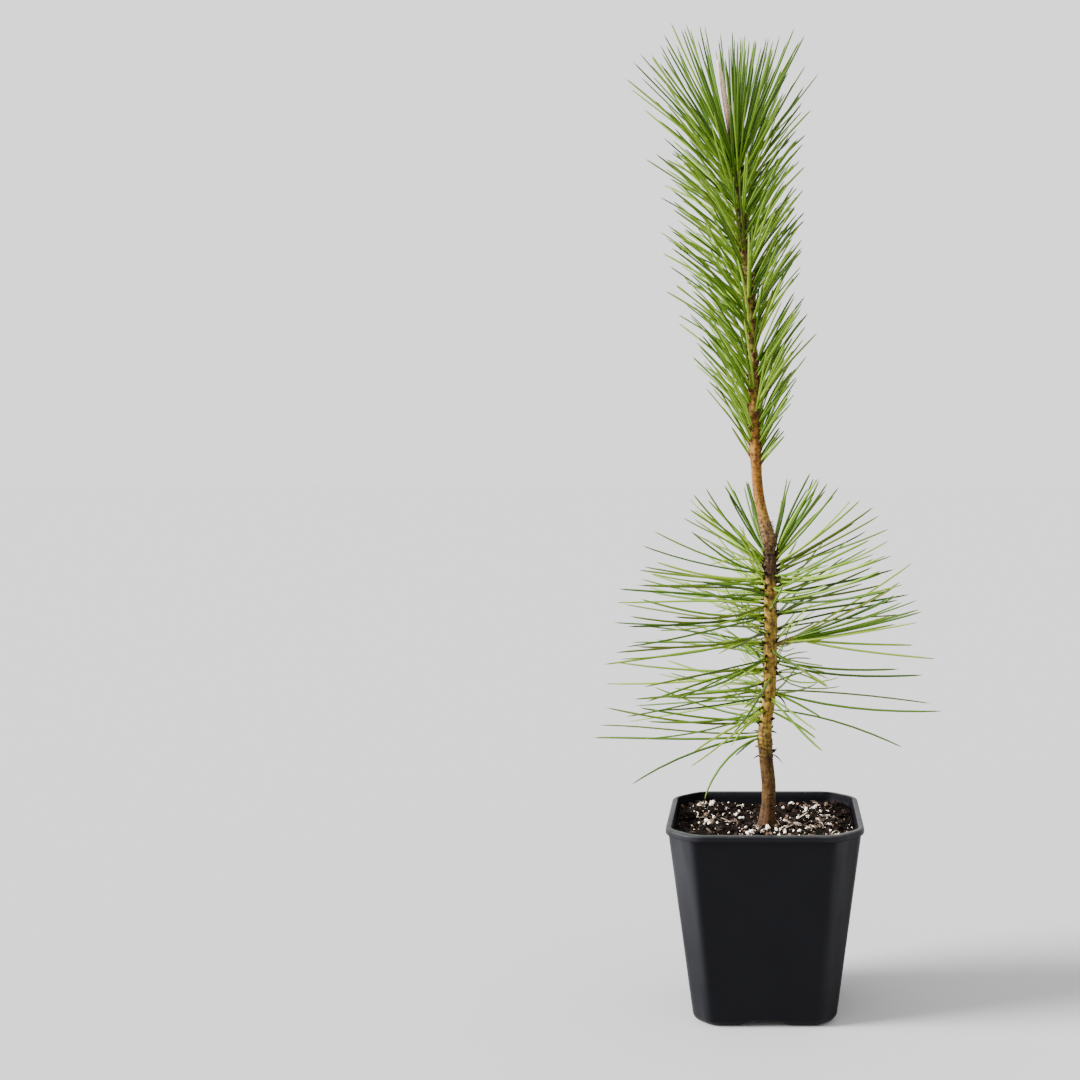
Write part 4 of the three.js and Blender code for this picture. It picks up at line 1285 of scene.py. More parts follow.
def bark_relief(height, turn):
    """Relief in millimetres and how dark it is, over a grid of heights and turns in radians.
    Long furrows and flakes on the first year's bark, faint streaks on the second's, rings of old scale scars
    at the knuckle and at the foot of the needles, and under each pair of needles a cushion that runs down the
    stem, with a dark scar. The darkness is also painted shade in the furrows of the old bark and in the
    grooves between the rings, deepest at the foot."""
    share = turn / (2 * np.pi)

    def noise(kind, shift=0):
        cells, tall, seed = BARK_NOISE[kind]
        return cloud(share * cells, height / tall + shift, cells, seed)

    old = 1 - smoothstep(height, *OLD_BARK_ENDS)
    knuckle, foot = band(height, *RINGED_KNUCKLE), band(height, *RINGED_FOOT)
    wobble = RING_WOBBLE * noise("wobble")
    furrows = noise("furrows") + FINER_SHARE * noise("finer furrows")
    flakes = np.abs(noise("flakes", wobble))
    fine = noise("fine")
    rings = np.sin(2 * np.pi * (height + wobble) / RING_SPACING)
    rough = RELIEF["furrows"] * furrows + RELIEF["flakes"] * flakes + RELIEF["old fine"] * fine
    smooth = RELIEF["streaks"] * noise("streaks") + RELIEF["young fine"] * fine
    ringed = (knuckle + foot) * RELIEF["rings"] * rings * (RING_BREAKS[0] + RING_BREAKS[1] * furrows)
    relief = old * rough + (1 - old) * smooth + ringed
    # Painted shade: darker in the furrows of the old bark and in the grooves between the rings, most at the
    # foot
    dark = old * smoothstep(-furrows, *CREVICE_SHADE) * CREVICE_DARK
    dark = dark + (knuckle + FOOT_RINGS_DARKER * foot) * smoothstep(-rings, *RING_SHADE) * RING_DARK
    root_height, root_azimuth, first_year = all_roots()
    for level, azimuth, is_first in zip(root_height, np.radians(root_azimuth), first_year):
        rise, scar = FIRST_CUSHION if is_first else SECOND_CUSHION
        rows = np.abs(height[:, 0] - level + CUSHION_WINDOW[0]) < CUSHION_WINDOW[1]
        below = height[rows] - level
        aside = (turn[rows] - azimuth + np.pi) % (2 * np.pi) - np.pi
        aside = aside * trunk_radius(level)
        reach = np.where(below < 0, CUSHION_DOWN, CUSHION_UP)
        relief[rows] += rise * np.exp(-((below / reach) ** 2) - (aside / CUSHION_HALF) ** 2)
        spot = np.exp(-(((below + SCAR_DROP) / SCAR_UP) ** 2) - (aside / SCAR_HALF) ** 2)
        dark[rows] = np.maximum(dark[rows], scar * spot)
    return relief, np.clip(dark, 0, 1)


def trunk_skin():
    """The trunk from its flared foot in the mix to its tip: level rings round the centre line, pushed out
    by the bark's relief, with buttresses at the foot, and rounded over at the tip."""
    height = np.linspace(TRUNK_FOOT - TRUNK_SUNK, TRUNK_TIP, TRUNK_ROWS)[:, None]
    turn = (np.arange(TRUNK_SIDES) * 2 * np.pi / TRUNK_SIDES)[None, :]
    relief, dark = bark_relief(*np.broadcast_arrays(height, turn))
    round_off = np.sqrt(np.clip((TRUNK_TIP - height) / TIP_ROUND, 0.0, 1))
    floor = CANDLE_RADIUS / trunk_radius(TRUNK_TIP)
    level, waist, spread = WAIST
    slimmer = BARK_ALLOWANCE + waist * np.exp(-(((height - level) / spread) ** 2))
    slimmer = slimmer + FIRST_YEAR_SLIMMER * band(height, *SLIMMER_ZONE)
    radius = (trunk_radius(np.maximum(height, TRUNK_FOOT)) - slimmer + relief) * np.maximum(round_off, floor)
    out, fade, number, start = BUTTRESS
    radius = radius + out * np.exp((TRUNK_FOOT - height) / fade) * np.cos(number * turn + start)
    centre = trunk_centre(np.maximum(height[:, 0], TRUNK_FOOT))
    centre[:, 2] = height[:, 0]
    flat = np.stack([np.cos(turn), np.sin(turn), np.zeros_like(turn)], axis=-1)
    rings = centre[:, None] + flat * radius[..., None]
    return tubes(rings[None]), np.concatenate([dark.ravel(), [0.0, 1.0]])


def scaly_skin(start, end, radius_at, rows, scale_length, depth):
    """A straight bud or shoot whose rings are pushed out by overlapping scales: in cells of scale_length by
    one scale's width, each second row shifted by half, the relief grows from a scale's foot to its point.
    Its marks are painted shade, darkest in the crevices at each scale's foot and sides."""
    run = np.linspace(0, 1, rows)[:, None]
    turn = (np.arange(SCALY_SIDES) * 2 * np.pi / SCALY_SIDES)[None, :]
    line = end - start
    length = np.linalg.norm(line)
    along = line / length
    side = unit(np.cross(along, SCALY_ASIDE))
    over = np.cross(along, side)
    row = run * length / scale_length
    column = turn * SCALES_ROUND / (2 * np.pi) + 0.5 * (np.floor(row) % 2)
    tip = row % 1 - SCALE_POINT * np.abs(column % 1 - 0.5)
    rough, shift, seed = SCALE_NOISE
    relief = depth * (tip + rough * cloud(column + shift, row, SCALES_ROUND, seed))
    # Painted shade in the crevices round each scale's foot
    dark = smoothstep(-tip, *SCALE_SHADE)
    radius = radius_at(run) + relief * np.minimum(1, SCALE_FADES * (1 - run))
    flat = side * np.cos(turn)[..., None] + over * np.sin(turn)[..., None]
    rings = start + line * run[..., None] + flat * radius[..., None]
    return tubes(rings[None]), np.concatenate([dark.ravel(), [0.0, 0.0]])


def candle_radius(run):
    """Slender and blunt: a straight taper, closed by the square root of one minus a high power of the run."""
    return CANDLE_RADIUS * np.sqrt(np.clip(1 - run**CANDLE_NOSE, 0.0, 1)) * lerp(1, CANDLE_TAPER, run)


def shoot_radius(run):
    """Nearly even, a little thicker in the middle and rounded over at the end."""
    closed = np.sqrt(np.clip(1 - run**SHOOT_NOSE, SHOOT_END, 1))
    return SHOOT_RADIUS * lerp(*SHOOT_SWELL, np.sin(np.pi * run)) * closed


def peels(height, azimuth, stand, length, width, curl, number, flatness):
    """Small scales and dry curls that stand off the bark: pointed strips on Bezier curves that leave the bark
    at the angle stand and turn down by the angle curl on the way."""
    foot = trunk_centre(height) + heading(azimuth, 0) * (trunk_radius(height) - PEEL_SUNK)[:, None]
    sway = scatter(number, TRAIT["sway"], PEEL_SWAY)
    corners = [foot]
    for swayed, curled, stretch in PEEL_STRETCHES:
        aim = heading(azimuth + sway * swayed, stand - curl * curled)
        corners.append(corners[-1] + aim * (length * stretch)[:, None])
    points, along = bezier(*corners, np.linspace(0, 1, len(PEEL_TAPER)))
    wide = PEEL_TAPER[None] * width[:, None]
    return tubes(across(points, along, heading(azimuth + 90, 0), wide, flatness * wide, PEEL_SIDES))


def scales_skin():
    """Small scales strewn by chance on the bark, thickest round the knuckle."""
    counts, lows, highs = zip(*SCALES_ON)
    number = np.arange(sum(counts)) + SCALE_SEED
    height = lerp(np.repeat(lows, counts), np.repeat(highs, counts), chance(number, TRAIT["place"]))
    azimuth = 360 * chance(number, TRAIT["turn"])
    steepest, flatter, power = SCALE_STAND
    stand = steepest - flatter * chance(number, TRAIT["rise"]) ** power
    length = SCALE_LENGTH[0] + SCALE_LENGTH[1] * chance(number, TRAIT["length"])
    width = SCALE_WIDTH[0] + SCALE_WIDTH[1] * chance(number, TRAIT["size"])
    curl = scatter(number, TRAIT["curl"], SCALE_CURL)
    return peels(height, azimuth, stand, length, width, curl, number, SCALE_FLATNESS)


def curls_skin():
    """The dry curls, each where it hangs."""
    return peels(*DRY_CURLS.T, np.arange(len(DRY_CURLS)) + CURL_SEED, CURL_FLATNESS)


# Needles

def stands(year, height):
    """Rise, length, lift, hook and lean at each height, straight between the year's stations."""
    stations = np.array(year["stations"], float)
    return [np.interp(height, stations[:, 0], stations[:, column]) for column in range(1, stations.shape[1])]


def year_of_needles(year, first_index, pairs, shorter):
    """The pairs of one year's growth as arrays with two entries a pair: heights crowd towards the head,
    azimuths wind by the golden angle, and the rest is the stations' stand with the scatter of the pair's
    chances. The source's pairs reach from end to end. Those with a first index lie in the middles of even
    shares."""
    order = np.arange(pairs)
    index = order + first_index
    if first_index:
        share, crowding = (order + 0.5) / pairs, year["extra_crowding"]
    else:
        share, crowding = order / (pairs - 1), year["crowding"]
    height = lerp(year["foot"], year["head"], 1 - (1 - share) ** crowding)
    rise, length, lift, hook, lean = stands(year, height)
    spreads = {trait: width * (EXTRA_WILDER if shorter else 1) for trait, width in year["scatter"].items()}
    quarter = index * GOLDEN_ANGLE + scatter(index, TRAIT["turn"], spreads["turn"])
    facing = np.cos(np.radians(quarter))
    spread = scatter(index, TRAIT["spread"], 2 * PAIR_SPREAD)
    slope = rise + lean * facing + scatter(index, TRAIT["rise"], spreads["rise"])
    shortening = (1 - chance(index, TRAIT["length"]) * spreads["length"]) * (1 - shorter)
    reach = length * shortening * (1 - facing * lean * LEAN_SHORTENS)
    bend = scatter(index, TRAIT["bend"], spreads["bend"])
    split = PAIR_RISE * (1 + chance(index, TRAIT["split"]))
    hand = np.array([-1.0, 1.0])[None, :]

    def both(value):
        return np.broadcast_to(np.asarray(value, float)[:, None], (pairs, 2))

    made = {
        "height": both(height) + hand * PAIR_STEP,
        "root": both(height),
        "quarter": both(quarter),
        "azimuth": both(quarter) + hand * both(spread) / 2,
        "rise": both(slope) + hand * both(split),
        "length": both(reach) * (1 - PAIR_SHORTER * hand * both(chance(index, TRAIT["match"]))),
        "lift": both(lift + bend),
        "hook": both(hook + bend / 2),
        "index": both(index),
        "hand": both(np.ones(pairs)) * hand,
    }
    return {key: value.ravel() for key, value in made.items()}


def stacked(groups):
    """Several groups of needles as one."""
    return {key: np.concatenate([group[key] for group in groups]) for key in groups[0]}


def chosen(needles, keep):
    """The needles for which keep is true."""
    return {key: value[keep] for key, value in needles.items()}


def wound_needles():
    """Both years' pairs, those of the source and the extra ones between them."""
    sizes = bpy.context.scene.young_pine_sizes
    return stacked([
        year_of_needles(FIRST_YEAR, 0, FIRST_YEAR["pairs"], 0),
        year_of_needles(SECOND_YEAR, 0, SECOND_YEAR["pairs"], 0),
        year_of_needles(FIRST_YEAR, EXTRA_FROM, sizes.extra_first_year, EXTRA_SHORTER),
        year_of_needles(SECOND_YEAR, UPPER_EXTRA_FROM, sizes.extra_second_year, EXTRA_SHORTER),
        year_of_needles(TUFT, TUFT_FROM, sizes.extra_tuft, 0),
    ])


def is_thinned(needles):
    """True where needles have dropped: low on the right, and lowest of all on the left."""
    facing = np.cos(np.radians(needles["quarter"]))
    is_extra = needles["index"] >= EXTRA_FROM
    right = (needles["height"] < THINNED[0] + EXTRA_THINNED * is_extra) & (facing > THINNED[1])
    left = (needles["height"] < LEFT_THINNED[0]) & (facing < LEFT_THINNED[1])
    dropped = right | left
    for low, high, turned, share, first_index in SPARSE:
        here = (needles["height"] > low) & (needles["height"] < high) & (facing > turned)
        here &= needles["index"] >= first_index
        dropped |= here & (chance(needles["index"], TRAIT["fan"]) < share)
    return dropped


def stray_needles(pairs):
    """The short kinked needles. Few of those on the right are kept."""
    strays = year_of_needles(STRAYS, STRAY_FROM, pairs, 0)
    on_right = np.cos(np.radians(strays["quarter"])) > STRAY_RIGHT[0]
    return chosen(strays, ~on_right | (chance(strays["index"], TRAIT["kind"]) < STRAY_RIGHT[1]))


def last_needles():
    """The long needles left low on the trunk and at the tuft's edge, as single ones."""
    height, azimuth, rise, length, lift, hook = LAST_NEEDLES.T
    index = LAST_FROM + np.arange(len(height))
    return {
        "height": height, "root": height, "quarter": azimuth, "azimuth": azimuth, "rise": rise,
        "length": length, "lift": lift, "hook": hook, "index": index, "hand": np.ones(len(height)),
    }


def needle_lines(needles, start, tip_from):
    """Bezier curves from start to each needle's tip. The tip is length along the azimuth and rise from
    tip_from. A needle sets out lift degrees steeper and ends hook degrees flatter, with a chance sway of
    azimuth at both ends."""
    azimuth, rise, length = needles["azimuth"], needles["rise"], needles["length"]
    number = needles["index"] * 2 + needles["hand"]
    tip = tip_from + heading(azimuth, rise) * length[:, None]
    sway = scatter(number, TRAIT["sway"], NEEDLE_SWAY)
    swing = scatter(number, TRAIT["aim"], NEEDLE_SWING)
    handle = (length / 3)[:, None]
    first = start + heading(azimuth + sway, rise + needles["lift"]) * handle
    last = tip - heading(azimuth + swing, rise - needles["hook"]) * handle
    return bezier(start, first, last, tip, NEEDLE_ROWS)


def touches_limb(points):
    """True where a needle, past its first stretch, comes within NEEDLE_CLEAR of the trunk, the candle or the
    side shoot. The candle and the shoot are tested as rows of dots."""
    free = points[:, NEEDLE_FREE_FROM:]
    centre = trunk_centre(free[..., 2])
    away = np.hypot(free[..., 0] - centre[..., 0], free[..., 1] - centre[..., 1])
    at_trunk = (away < trunk_radius(free[..., 2]) + NEEDLE_CLEAR) & (free[..., 2] < TRUNK_TIP)
    touching = at_trunk.any(axis=1)
    limbs = [
        (trunk_centre(np.array([TRUNK_TIP]))[0], CANDLE_TIP, CANDLE_RADIUS),
        (trunk_centre(np.array([SHOOT_HEIGHT]))[0], SHOOT_TIP, SHOOT_RADIUS),
    ]
    for low, high, radius in limbs:
        dots = lerp(low, high, np.linspace(0, 1, LIMB_DOTS)[:, None])
        gap = np.linalg.norm(free[:, :, None] - dots[None, None], axis=-1).min(axis=(1, 2))
        touching |= gap < radius + NEEDLE_CLEAR
    return touching


def needle_rings(points, along, azimuth, number, slimmer, sizes):
    """Elliptic rings along needles: full width soon after the sheath, slimmer by the run's square over
    NEEDLE_SLIMS, and drawn to a point by the square root of one minus a high power of the run. The wide side
    starts at a chance turn about the needle and twists by up to NEEDLE_TWIST on the way."""
    run = NEEDLE_ROWS[None, :]
    at_foot, full_at = NEEDLE_FOOT
    taper = lerp(at_foot, 1, smoothstep(run, 0, full_at)) * (1 - run**2 / NEEDLE_SLIMS)
    shape = np.maximum(taper * np.sqrt(1 - run**NEEDLE_BLUNTNESS), NEEDLE_LEAST) * slimmer[:, None]
    half = METRE * sizes.needle_width / 2
    thin = METRE * sizes.needle_thickness / 2
    level = heading(azimuth + 90, 0)
    upright = np.cross(unit(points[:, -1] - points[:, 0]), level)
    roll = np.pi * chance(number, TRAIT["size"])
    turn = roll[:, None] + run * scatter(number, TRAIT["curl"], 2 * NEEDLE_TWIST)[:, None]
    side = unit(level[:, None] * np.cos(turn)[..., None] + upright[:, None] * np.sin(turn)[..., None])
    return across(points, along, side, half * shape, thin * shape, NEEDLE_SIDES)


def covers_stem(points, is_extra, is_stray):
    """True for needles that would hide from the front what the plant shows there: the candle, and the bare
    trunk round the knuckle and at the foot. A needle covers them where it passes in front within a margin of
    the centre line. The extra pairs leave the whole trunk in sight, and the strays the lower trunk."""
    x, y, z = points[..., 0], points[..., 1], points[..., 2]
    share = (z - TRUNK_TIP) / (CANDLE_TIP[2] - TRUNK_TIP)
    foot = trunk_centre(np.array([TRUNK_TIP]))[0]
    beside_candle = np.abs(x - lerp(foot[0], CANDLE_TIP[0], share)) < SIGHT_MARGIN[0]
    candle = beside_candle & (y < CANDLE_FRONT) & (z > CANDLE_SIGHT) & (z < CANDLE_TIP[2])
    centre = trunk_centre(z)
    beside_trunk = np.abs(x - centre[..., 0]) < SIGHT_MARGIN[1]
    low, high = KNUCKLE_SIGHT
    knuckle = beside_trunk & (y < KNUCKLE_FRONT) & (z > low) & (z < high)
    before_stem = beside_trunk & (y < STEM_FRONT)
    upper = is_extra[:, None] & before_stem & (z > high) & (z < UPPER_SIGHT)
    lower = (is_extra | is_stray)[:, None] & before_stem & (z < low)
    beside_foot = np.abs(x - centre[..., 0]) < FOOT_SIGHT[0]
    lowest = beside_foot & (y < FOOT_FRONT) & (z < FOOT_SIGHT[1])
    return (candle | knuckle | upper | lower | lowest).any(axis=1)


def standing_needles():
    """Every standing needle of the trunk, with the points and tangents of its curve."""
    wound = wound_needles()
    strays = stray_needles(bpy.context.scene.young_pine_sizes.strays)
    standing = stacked([last_needles(), chosen(wound, ~is_thinned(wound)), strays])
    root, quarter, height = standing["root"], standing["quarter"], standing["height"]
    sidestep = heading(quarter + 90, 0) * (ROOTS_APART * standing["hand"])[:, None]
    start = trunk_centre(root) + heading(quarter, 0) * (trunk_radius(root) - ROOT_SUNK)[:, None] + sidestep
    start[:, 2] += ROOTS_STEPPED * standing["hand"]
    tip_from = trunk_centre(height) + heading(standing["azimuth"], 0) * trunk_radius(height)[:, None]
    points, along = needle_lines(standing, start, tip_from)
    is_extra = (standing["index"] >= EXTRA_FROM) & (standing["index"] < STRAY_FROM)
    is_stray = standing["index"] >= STRAY_FROM
    keep = ~touches_limb(points) & ~covers_stem(points, is_extra, is_stray)
    return chosen(standing, keep), points[keep], along[keep]


def bunch_needles():
    """The side shoot's bunch: pairs that fan out beyond its tip, more of them rising than level."""
    outward = unit(SHOOT_TIP - trunk_centre(np.array([SHOOT_HEIGHT]))[0])
    middle = SHOOT_TIP + outward * BUNCH_STEM / 2
    index = np.repeat(np.arange(BUNCH_PAIRS), 2)
    share = (index / (BUNCH_PAIRS - 1)) ** BUNCH_CROWDING
    hand = np.tile([-1.0, 1.0], BUNCH_PAIRS)
    count = len(index)
    aside, above = BUNCH_APART
    lift, hook = BUNCH_BEND
    needles = {
        "azimuth": lerp(-BUNCH_FAN, BUNCH_FAN, chance(index, TRAIT["fan"])) + hand * aside,
        "rise": lerp(*BUNCH_RISE, share) + hand * above,
        "length": lerp(*BUNCH_LENGTH, chance(index * 2 + hand, TRAIT["reach"]) ** BUNCH_LONGER),
        "height": np.full(count, SHOOT_HEIGHT), "lift": np.full(count, lift), "hook": np.full(count, hook),
        "index": index, "hand": hand,
    }
    middles = np.broadcast_to(middle, (count, 3))
    back, down = scatter(index, TRAIT["aim"], 2), scatter(index, TRAIT["depth"], 2)
    spots = np.stack([chance(index, TRAIT["place"]), back, down], axis=-1)
    frame_of = np.stack([outward, np.array([0, 1.0, 0]), np.array([0, 0, 1.0])])
    start = SHOOT_TIP + (spots * BUNCH_SPOTS) @ frame_of
    points, along = needle_lines(needles, start, middles)
    return needles, points, along


def cones(foot, ahead, length, run, half, flatness):
    """Closed cones from each foot straight ahead, with rings at the shares in run and their half widths."""
    lines = foot[:, None] + ahead[:, None] * run[None, :, None] * length[:, None, None]
    wide = half[None] * np.ones(len(foot))[:, None]
    tangents = np.broadcast_to(ahead[:, None], lines.shape)
    side = unit(np.cross(ahead, CONE_ASIDE))
    return tubes(across(lines, tangents, side, wide, wide * flatness, CONE_SIDES))


def sheath_skin(needles, points, along, old_length, young_length):
    """The papery sheath that holds each pair: a short cone along the pair's own start. Returns the skin and
    its bands, 1 on the second year's growth."""
    first = needles["hand"] < 0
    young = needles["height"][first] > YOUNG_FROM
    least, more = SHEATH_VARIES
    length = np.where(young, young_length, old_length)
    length = length * (least + more * chance(needles["index"][first], TRAIT["reach"]))
    foot, ahead = points[first, 0], along[first, 0]
    skin = cones(foot, ahead, length + ROOT_SUNK, SHEATH_RUN, SHEATH_HALF, SHEATH_FLATNESS)
    return skin, whole_bands(young.astype(int), len(SHEATH_RUN), CONE_SIDES)


def peg_skin(needles):
    """The dark pegs that dropped pairs leave: short cones out of the bark that droop or rise a little."""
    pairs = chosen(needles, needles["hand"] < 0)
    pegs = chosen(pairs, chance(pairs["index"], TRAIT["kind"]) < PEG_SHARE)
    index, height, azimuth = pegs["index"], pegs["root"], pegs["quarter"]
    ahead = heading(azimuth, scatter(index, TRAIT["rise"], PEG_DROOP))
    foot = trunk_centre(height) + heading(azimuth, 0) * (trunk_radius(height) - PEG_SUNK)[:, None]
    length = PEG_LENGTH[0] + PEG_LENGTH[1] * chance(index, TRAIT["length"])
    return cones(foot, ahead, length, PEG_RUN, PEG_HALF, flatness=1)


def kinds_of(needles):
    """Which green each needle has: one chance for each needle, compared with the cumulative shares of its
    part of the plant. The tuft's core gets the darkest greens, painted shade where its needles crowd, and
    the strays are lighter."""
    draw = chance(needles["index"] * 2 + needles["hand"], TRAIT["kind"])
    limits = np.broadcast_to(KIND_SHARES["lower"], (len(draw), len(GREENS))).copy()
    for part, above in (("upper", YOUNG_FROM), ("crown", CROWN_FROM), ("core", SHADED_CORE_FROM)):
        limits[needles["height"] > above] = KIND_SHARES[part]
    is_last = (needles["index"] >= LAST_FROM) & (needles["index"] < LAST_FROM + len(LAST_NEEDLES))
    limits[is_last] = KIND_SHARES["last"]
    limits[needles["index"] >= STRAY_FROM] = KIND_SHARES["stray"]
    return (draw[:, None] >= limits).sum(axis=1)


# Settings, operators and panel

class YoungPineSizes(bpy.types.PropertyGroup):
    """Sizes and counts that a user would change."""

    needle_width: bpy.props.FloatProperty(
        name="Needle width", description="Width of a needle", default=0.00142, unit="LENGTH")
    needle_thickness: bpy.props.FloatProperty(
        name="Needle thickness", description="Thickness of a needle", default=0.00104, unit="LENGTH")
    extra_first_year: bpy.props.IntProperty(
        name="Extra lower pairs", description="Pairs added between the source's on the first year's growth",
        default=66)
    extra_second_year: bpy.props.IntProperty(
        name="Extra upper pairs", description="Pairs added between the source's on the second year's growth",
        default=240)
    extra_tuft: bpy.props.IntProperty(
        name="Extra tuft pairs", description="Pairs added to the tuft round the candle", default=18)
    strays: bpy.props.IntProperty(
        name="Stray pairs", description="Short kinked pairs close to the first year's trunk", default=84)
    old_sheath: bpy.props.FloatProperty(
        name="Old sheath", description="Length of a sheath on the first year's growth", default=0.0023,
        unit="LENGTH")
    young_sheath: bpy.props.FloatProperty(
        name="Young sheath", description="Length of a sheath on the second year's growth", default=0.0018,
        unit="LENGTH")
    perlite_grains: bpy.props.IntProperty(
        name="Perlite grains", description="White grains strewn evenly on the mix", default=400)
    bark_chips: bpy.props.IntProperty(
        name="Bark chips", description="Dark chips strewn evenly on the mix", default=820)
    bark_shreds: bpy.props.IntProperty(
        name="Bark shreds", description="Pale shreds strewn evenly on the mix", default=115)


def colour_property(name, description, default):
    """A colour setting."""
    return bpy.props.FloatVectorProperty(
        name=name, description=description, subtype="COLOR", size=3, min=0, max=1, default=default)


class YoungPineColours(bpy.types.PropertyGroup):
    """Linear base colours of the plant, its mix and its pot."""

    plastic: colour_property("Plastic", "Black of the pot", (0.0036, 0.0036, 0.0049))
    # Painted sheen that lightens the cut corners in place of reflections
    plastic_corner_sheen: colour_property("Plastic haze", "Scuffed cut corners of the pot", (0.0182, 0.0182, 0.0208))
    plastic_dust: colour_property("Plastic dust", "Dusty grey of the lip", (0.036, 0.037, 0.033))
    bark_root: colour_property("Bark at the foot", "Brown above the roots", (0.061, 0.032, 0.008))
    bark_tan: colour_property("Tan bark", "Light bark of the first year", (0.195, 0.125, 0.0205))
    bark_dark: colour_property("Knuckle bark", "Dark bark of the knuckle", (0.05, 0.026, 0.0105))
    bark_grey: colour_property("Ringed bark", "Grey brown rings of old bud scales", (0.125, 0.072, 0.032))
    bark_gold: colour_property("Golden bark", "Bark just above the rings", (0.17, 0.093, 0.021))
    bark_orange: colour_property("Orange bark", "Smooth bark above the knuckle", (0.165, 0.073, 0.0108))
    bark_brown: colour_property("Brown bark", "Bark a third up the second year", (0.13, 0.083, 0.013))
    bark_moss: colour_property("Mossy bark", "Bark half way up the second year", (0.17, 0.13, 0.024))
    bark_olive: colour_property("Olive bark", "Bark under the tuft", (0.058, 0.042, 0.007))
    bark_deep: colour_property("Deep bark", "Bark at the level of the mix", (0.04, 0.018, 0.005))
    # Also the colour of painted shade in the bark's crevices and between the side shoot's scales
    scar: colour_property("Scar", "Scars, crevices and pegs", (0.012, 0.0065, 0.004))
    bud: colour_property("Bud", "Pinkish beige scales of the candle", (0.58, 0.38, 0.28))
    bud_pale: colour_property("Bud tip", "Palest scales of the candle", (0.78, 0.6, 0.48))
    # Also painted shade in the crevices between the candle's scales
    bud_brown_and_crevice_shade: colour_property("Bud foot", "Brown foot and crevices of the candle", (0.13, 0.065, 0.03))
    shoot: colour_property("Side shoot", "Brown of the side shoot", (0.1, 0.045, 0.012))
    shoot_green: colour_property("Side shoot green", "Young green patches of the shoot", (0.13, 0.17, 0.018))
    sheath_old: colour_property("Old sheath", "Dark sheaths of the first year", (0.016, 0.0065, 0.0025))
    sheath_young: colour_property("Young sheath", "Brown sheaths of the second year", (0.06, 0.026, 0.009))
    needle_deep: colour_property("Deep green", "Darkest needles", (0.031, 0.071, 0.004))
    needle_green: colour_property("Green", "Common needles", (0.066, 0.134, 0.008))
    needle_mid: colour_property("Mid green", "Lighter needles", (0.12, 0.204, 0.015))
    needle_fresh: colour_property("Fresh green", "Bright needles", (0.175, 0.285, 0.024))
    needle_yellow: colour_property("Yellow green", "Ageing needles", (0.25, 0.345, 0.03))
    needle_olive: colour_property("Olive", "Dull needles", (0.082, 0.11, 0.008))
    needle_base: colour_property("Needle base", "Foot of every needle", (0.125, 0.2, 0.004))
    needle_tip: colour_property("Needle tip", "Horny brown tip of every needle", (0.11, 0.12, 0.02))
    peel: colour_property("Dry scales", "Dry scales and curls on the bark", (0.08, 0.04, 0.02))
    mix: colour_property("Mix", "Damp potting mix", (0.0036, 0.0022, 0.0016))
    mix_crumb: colour_property("Mix crumbs", "Browner crumbs of the mix", (0.015, 0.008, 0.005))
    # Painted shade in the hollows of the mix
    mix_hollow_shade: colour_property("Mix hollows", "Hollows of the mix", (0.0009, 0.0006, 0.0005))
    chip: colour_property("Bark chips", "Dark chips on the mix", (0.0042, 0.0024, 0.0017))
    chip_brown: colour_property("Brown chips", "Browner chips on the mix", (0.017, 0.0095, 0.0075))
    shred: colour_property("Shreds", "Pale bark shreds", (0.46, 0.38, 0.29))
    shred_brown: colour_property("Brown shreds", "Browner bark shreds", (0.062, 0.041, 0.029))
    perlite: colour_property("Perlite", "White grains", (1.0, 0.88, 0.76))
    perlite_stained: colour_property("Stained perlite", "Grains with damp dirt on them", (0.14, 0.095, 0.066))


class YoungPineStage(bpy.types.PropertyGroup):
    """Floor, light and camera."""

    floor: colour_property("Floor", "Plain pale floor", (0.424, 0.424, 0.424))
    surround: bpy.props.FloatProperty(
        name="Surround", description="Strength of the white surround", default=1.59)
    key: bpy.props.FloatProperty(
        name="Key light", description="Strength of the broad light from the left", default=16.2)
    key_spread: bpy.props.FloatProperty(
        name="Key spread", description="Angle that the key light fills", default=0.45, subtype="ANGLE")
    camera_distance: bpy.props.FloatProperty(
        name="Camera distance", description="From the pot's axis to the camera", default=0.8476,
        unit="LENGTH")
    camera_height: bpy.props.FloatProperty(
        name="Camera height", description="Above the floor", default=0.3072, unit="LENGTH")
    camera_pitch: bpy.props.FloatProperty(
        name="Camera pitch", description="Down from level", default=0.069, subtype="ANGLE")
    camera_lens: bpy.props.FloatProperty(
        name="Lens", description="Focal length on a 36 mm sensor", default=53.87)
    camera_shift: bpy.props.FloatProperty(
        name="Shift", description="Sideways shift that sets the plant right of centre", default=-0.2083)


class YOUNGPINE_OT_pot(bpy.types.Operator):
    """Makes the pot's shell with its lip, feet and drain holes"""

    bl_idname = "young_pine.pot"
    bl_label = "Make the pot"

    def execute(self, context):
        colours = context.scene.young_pine_colours
        skin, marks = pot_skin()
        plastic = plastic_material(colours)
        pot = add_piece("nursery_pot", skin, [plastic], ["pot"], marks=marks)
        cut_drains(pot)
        return {"FINISHED"}


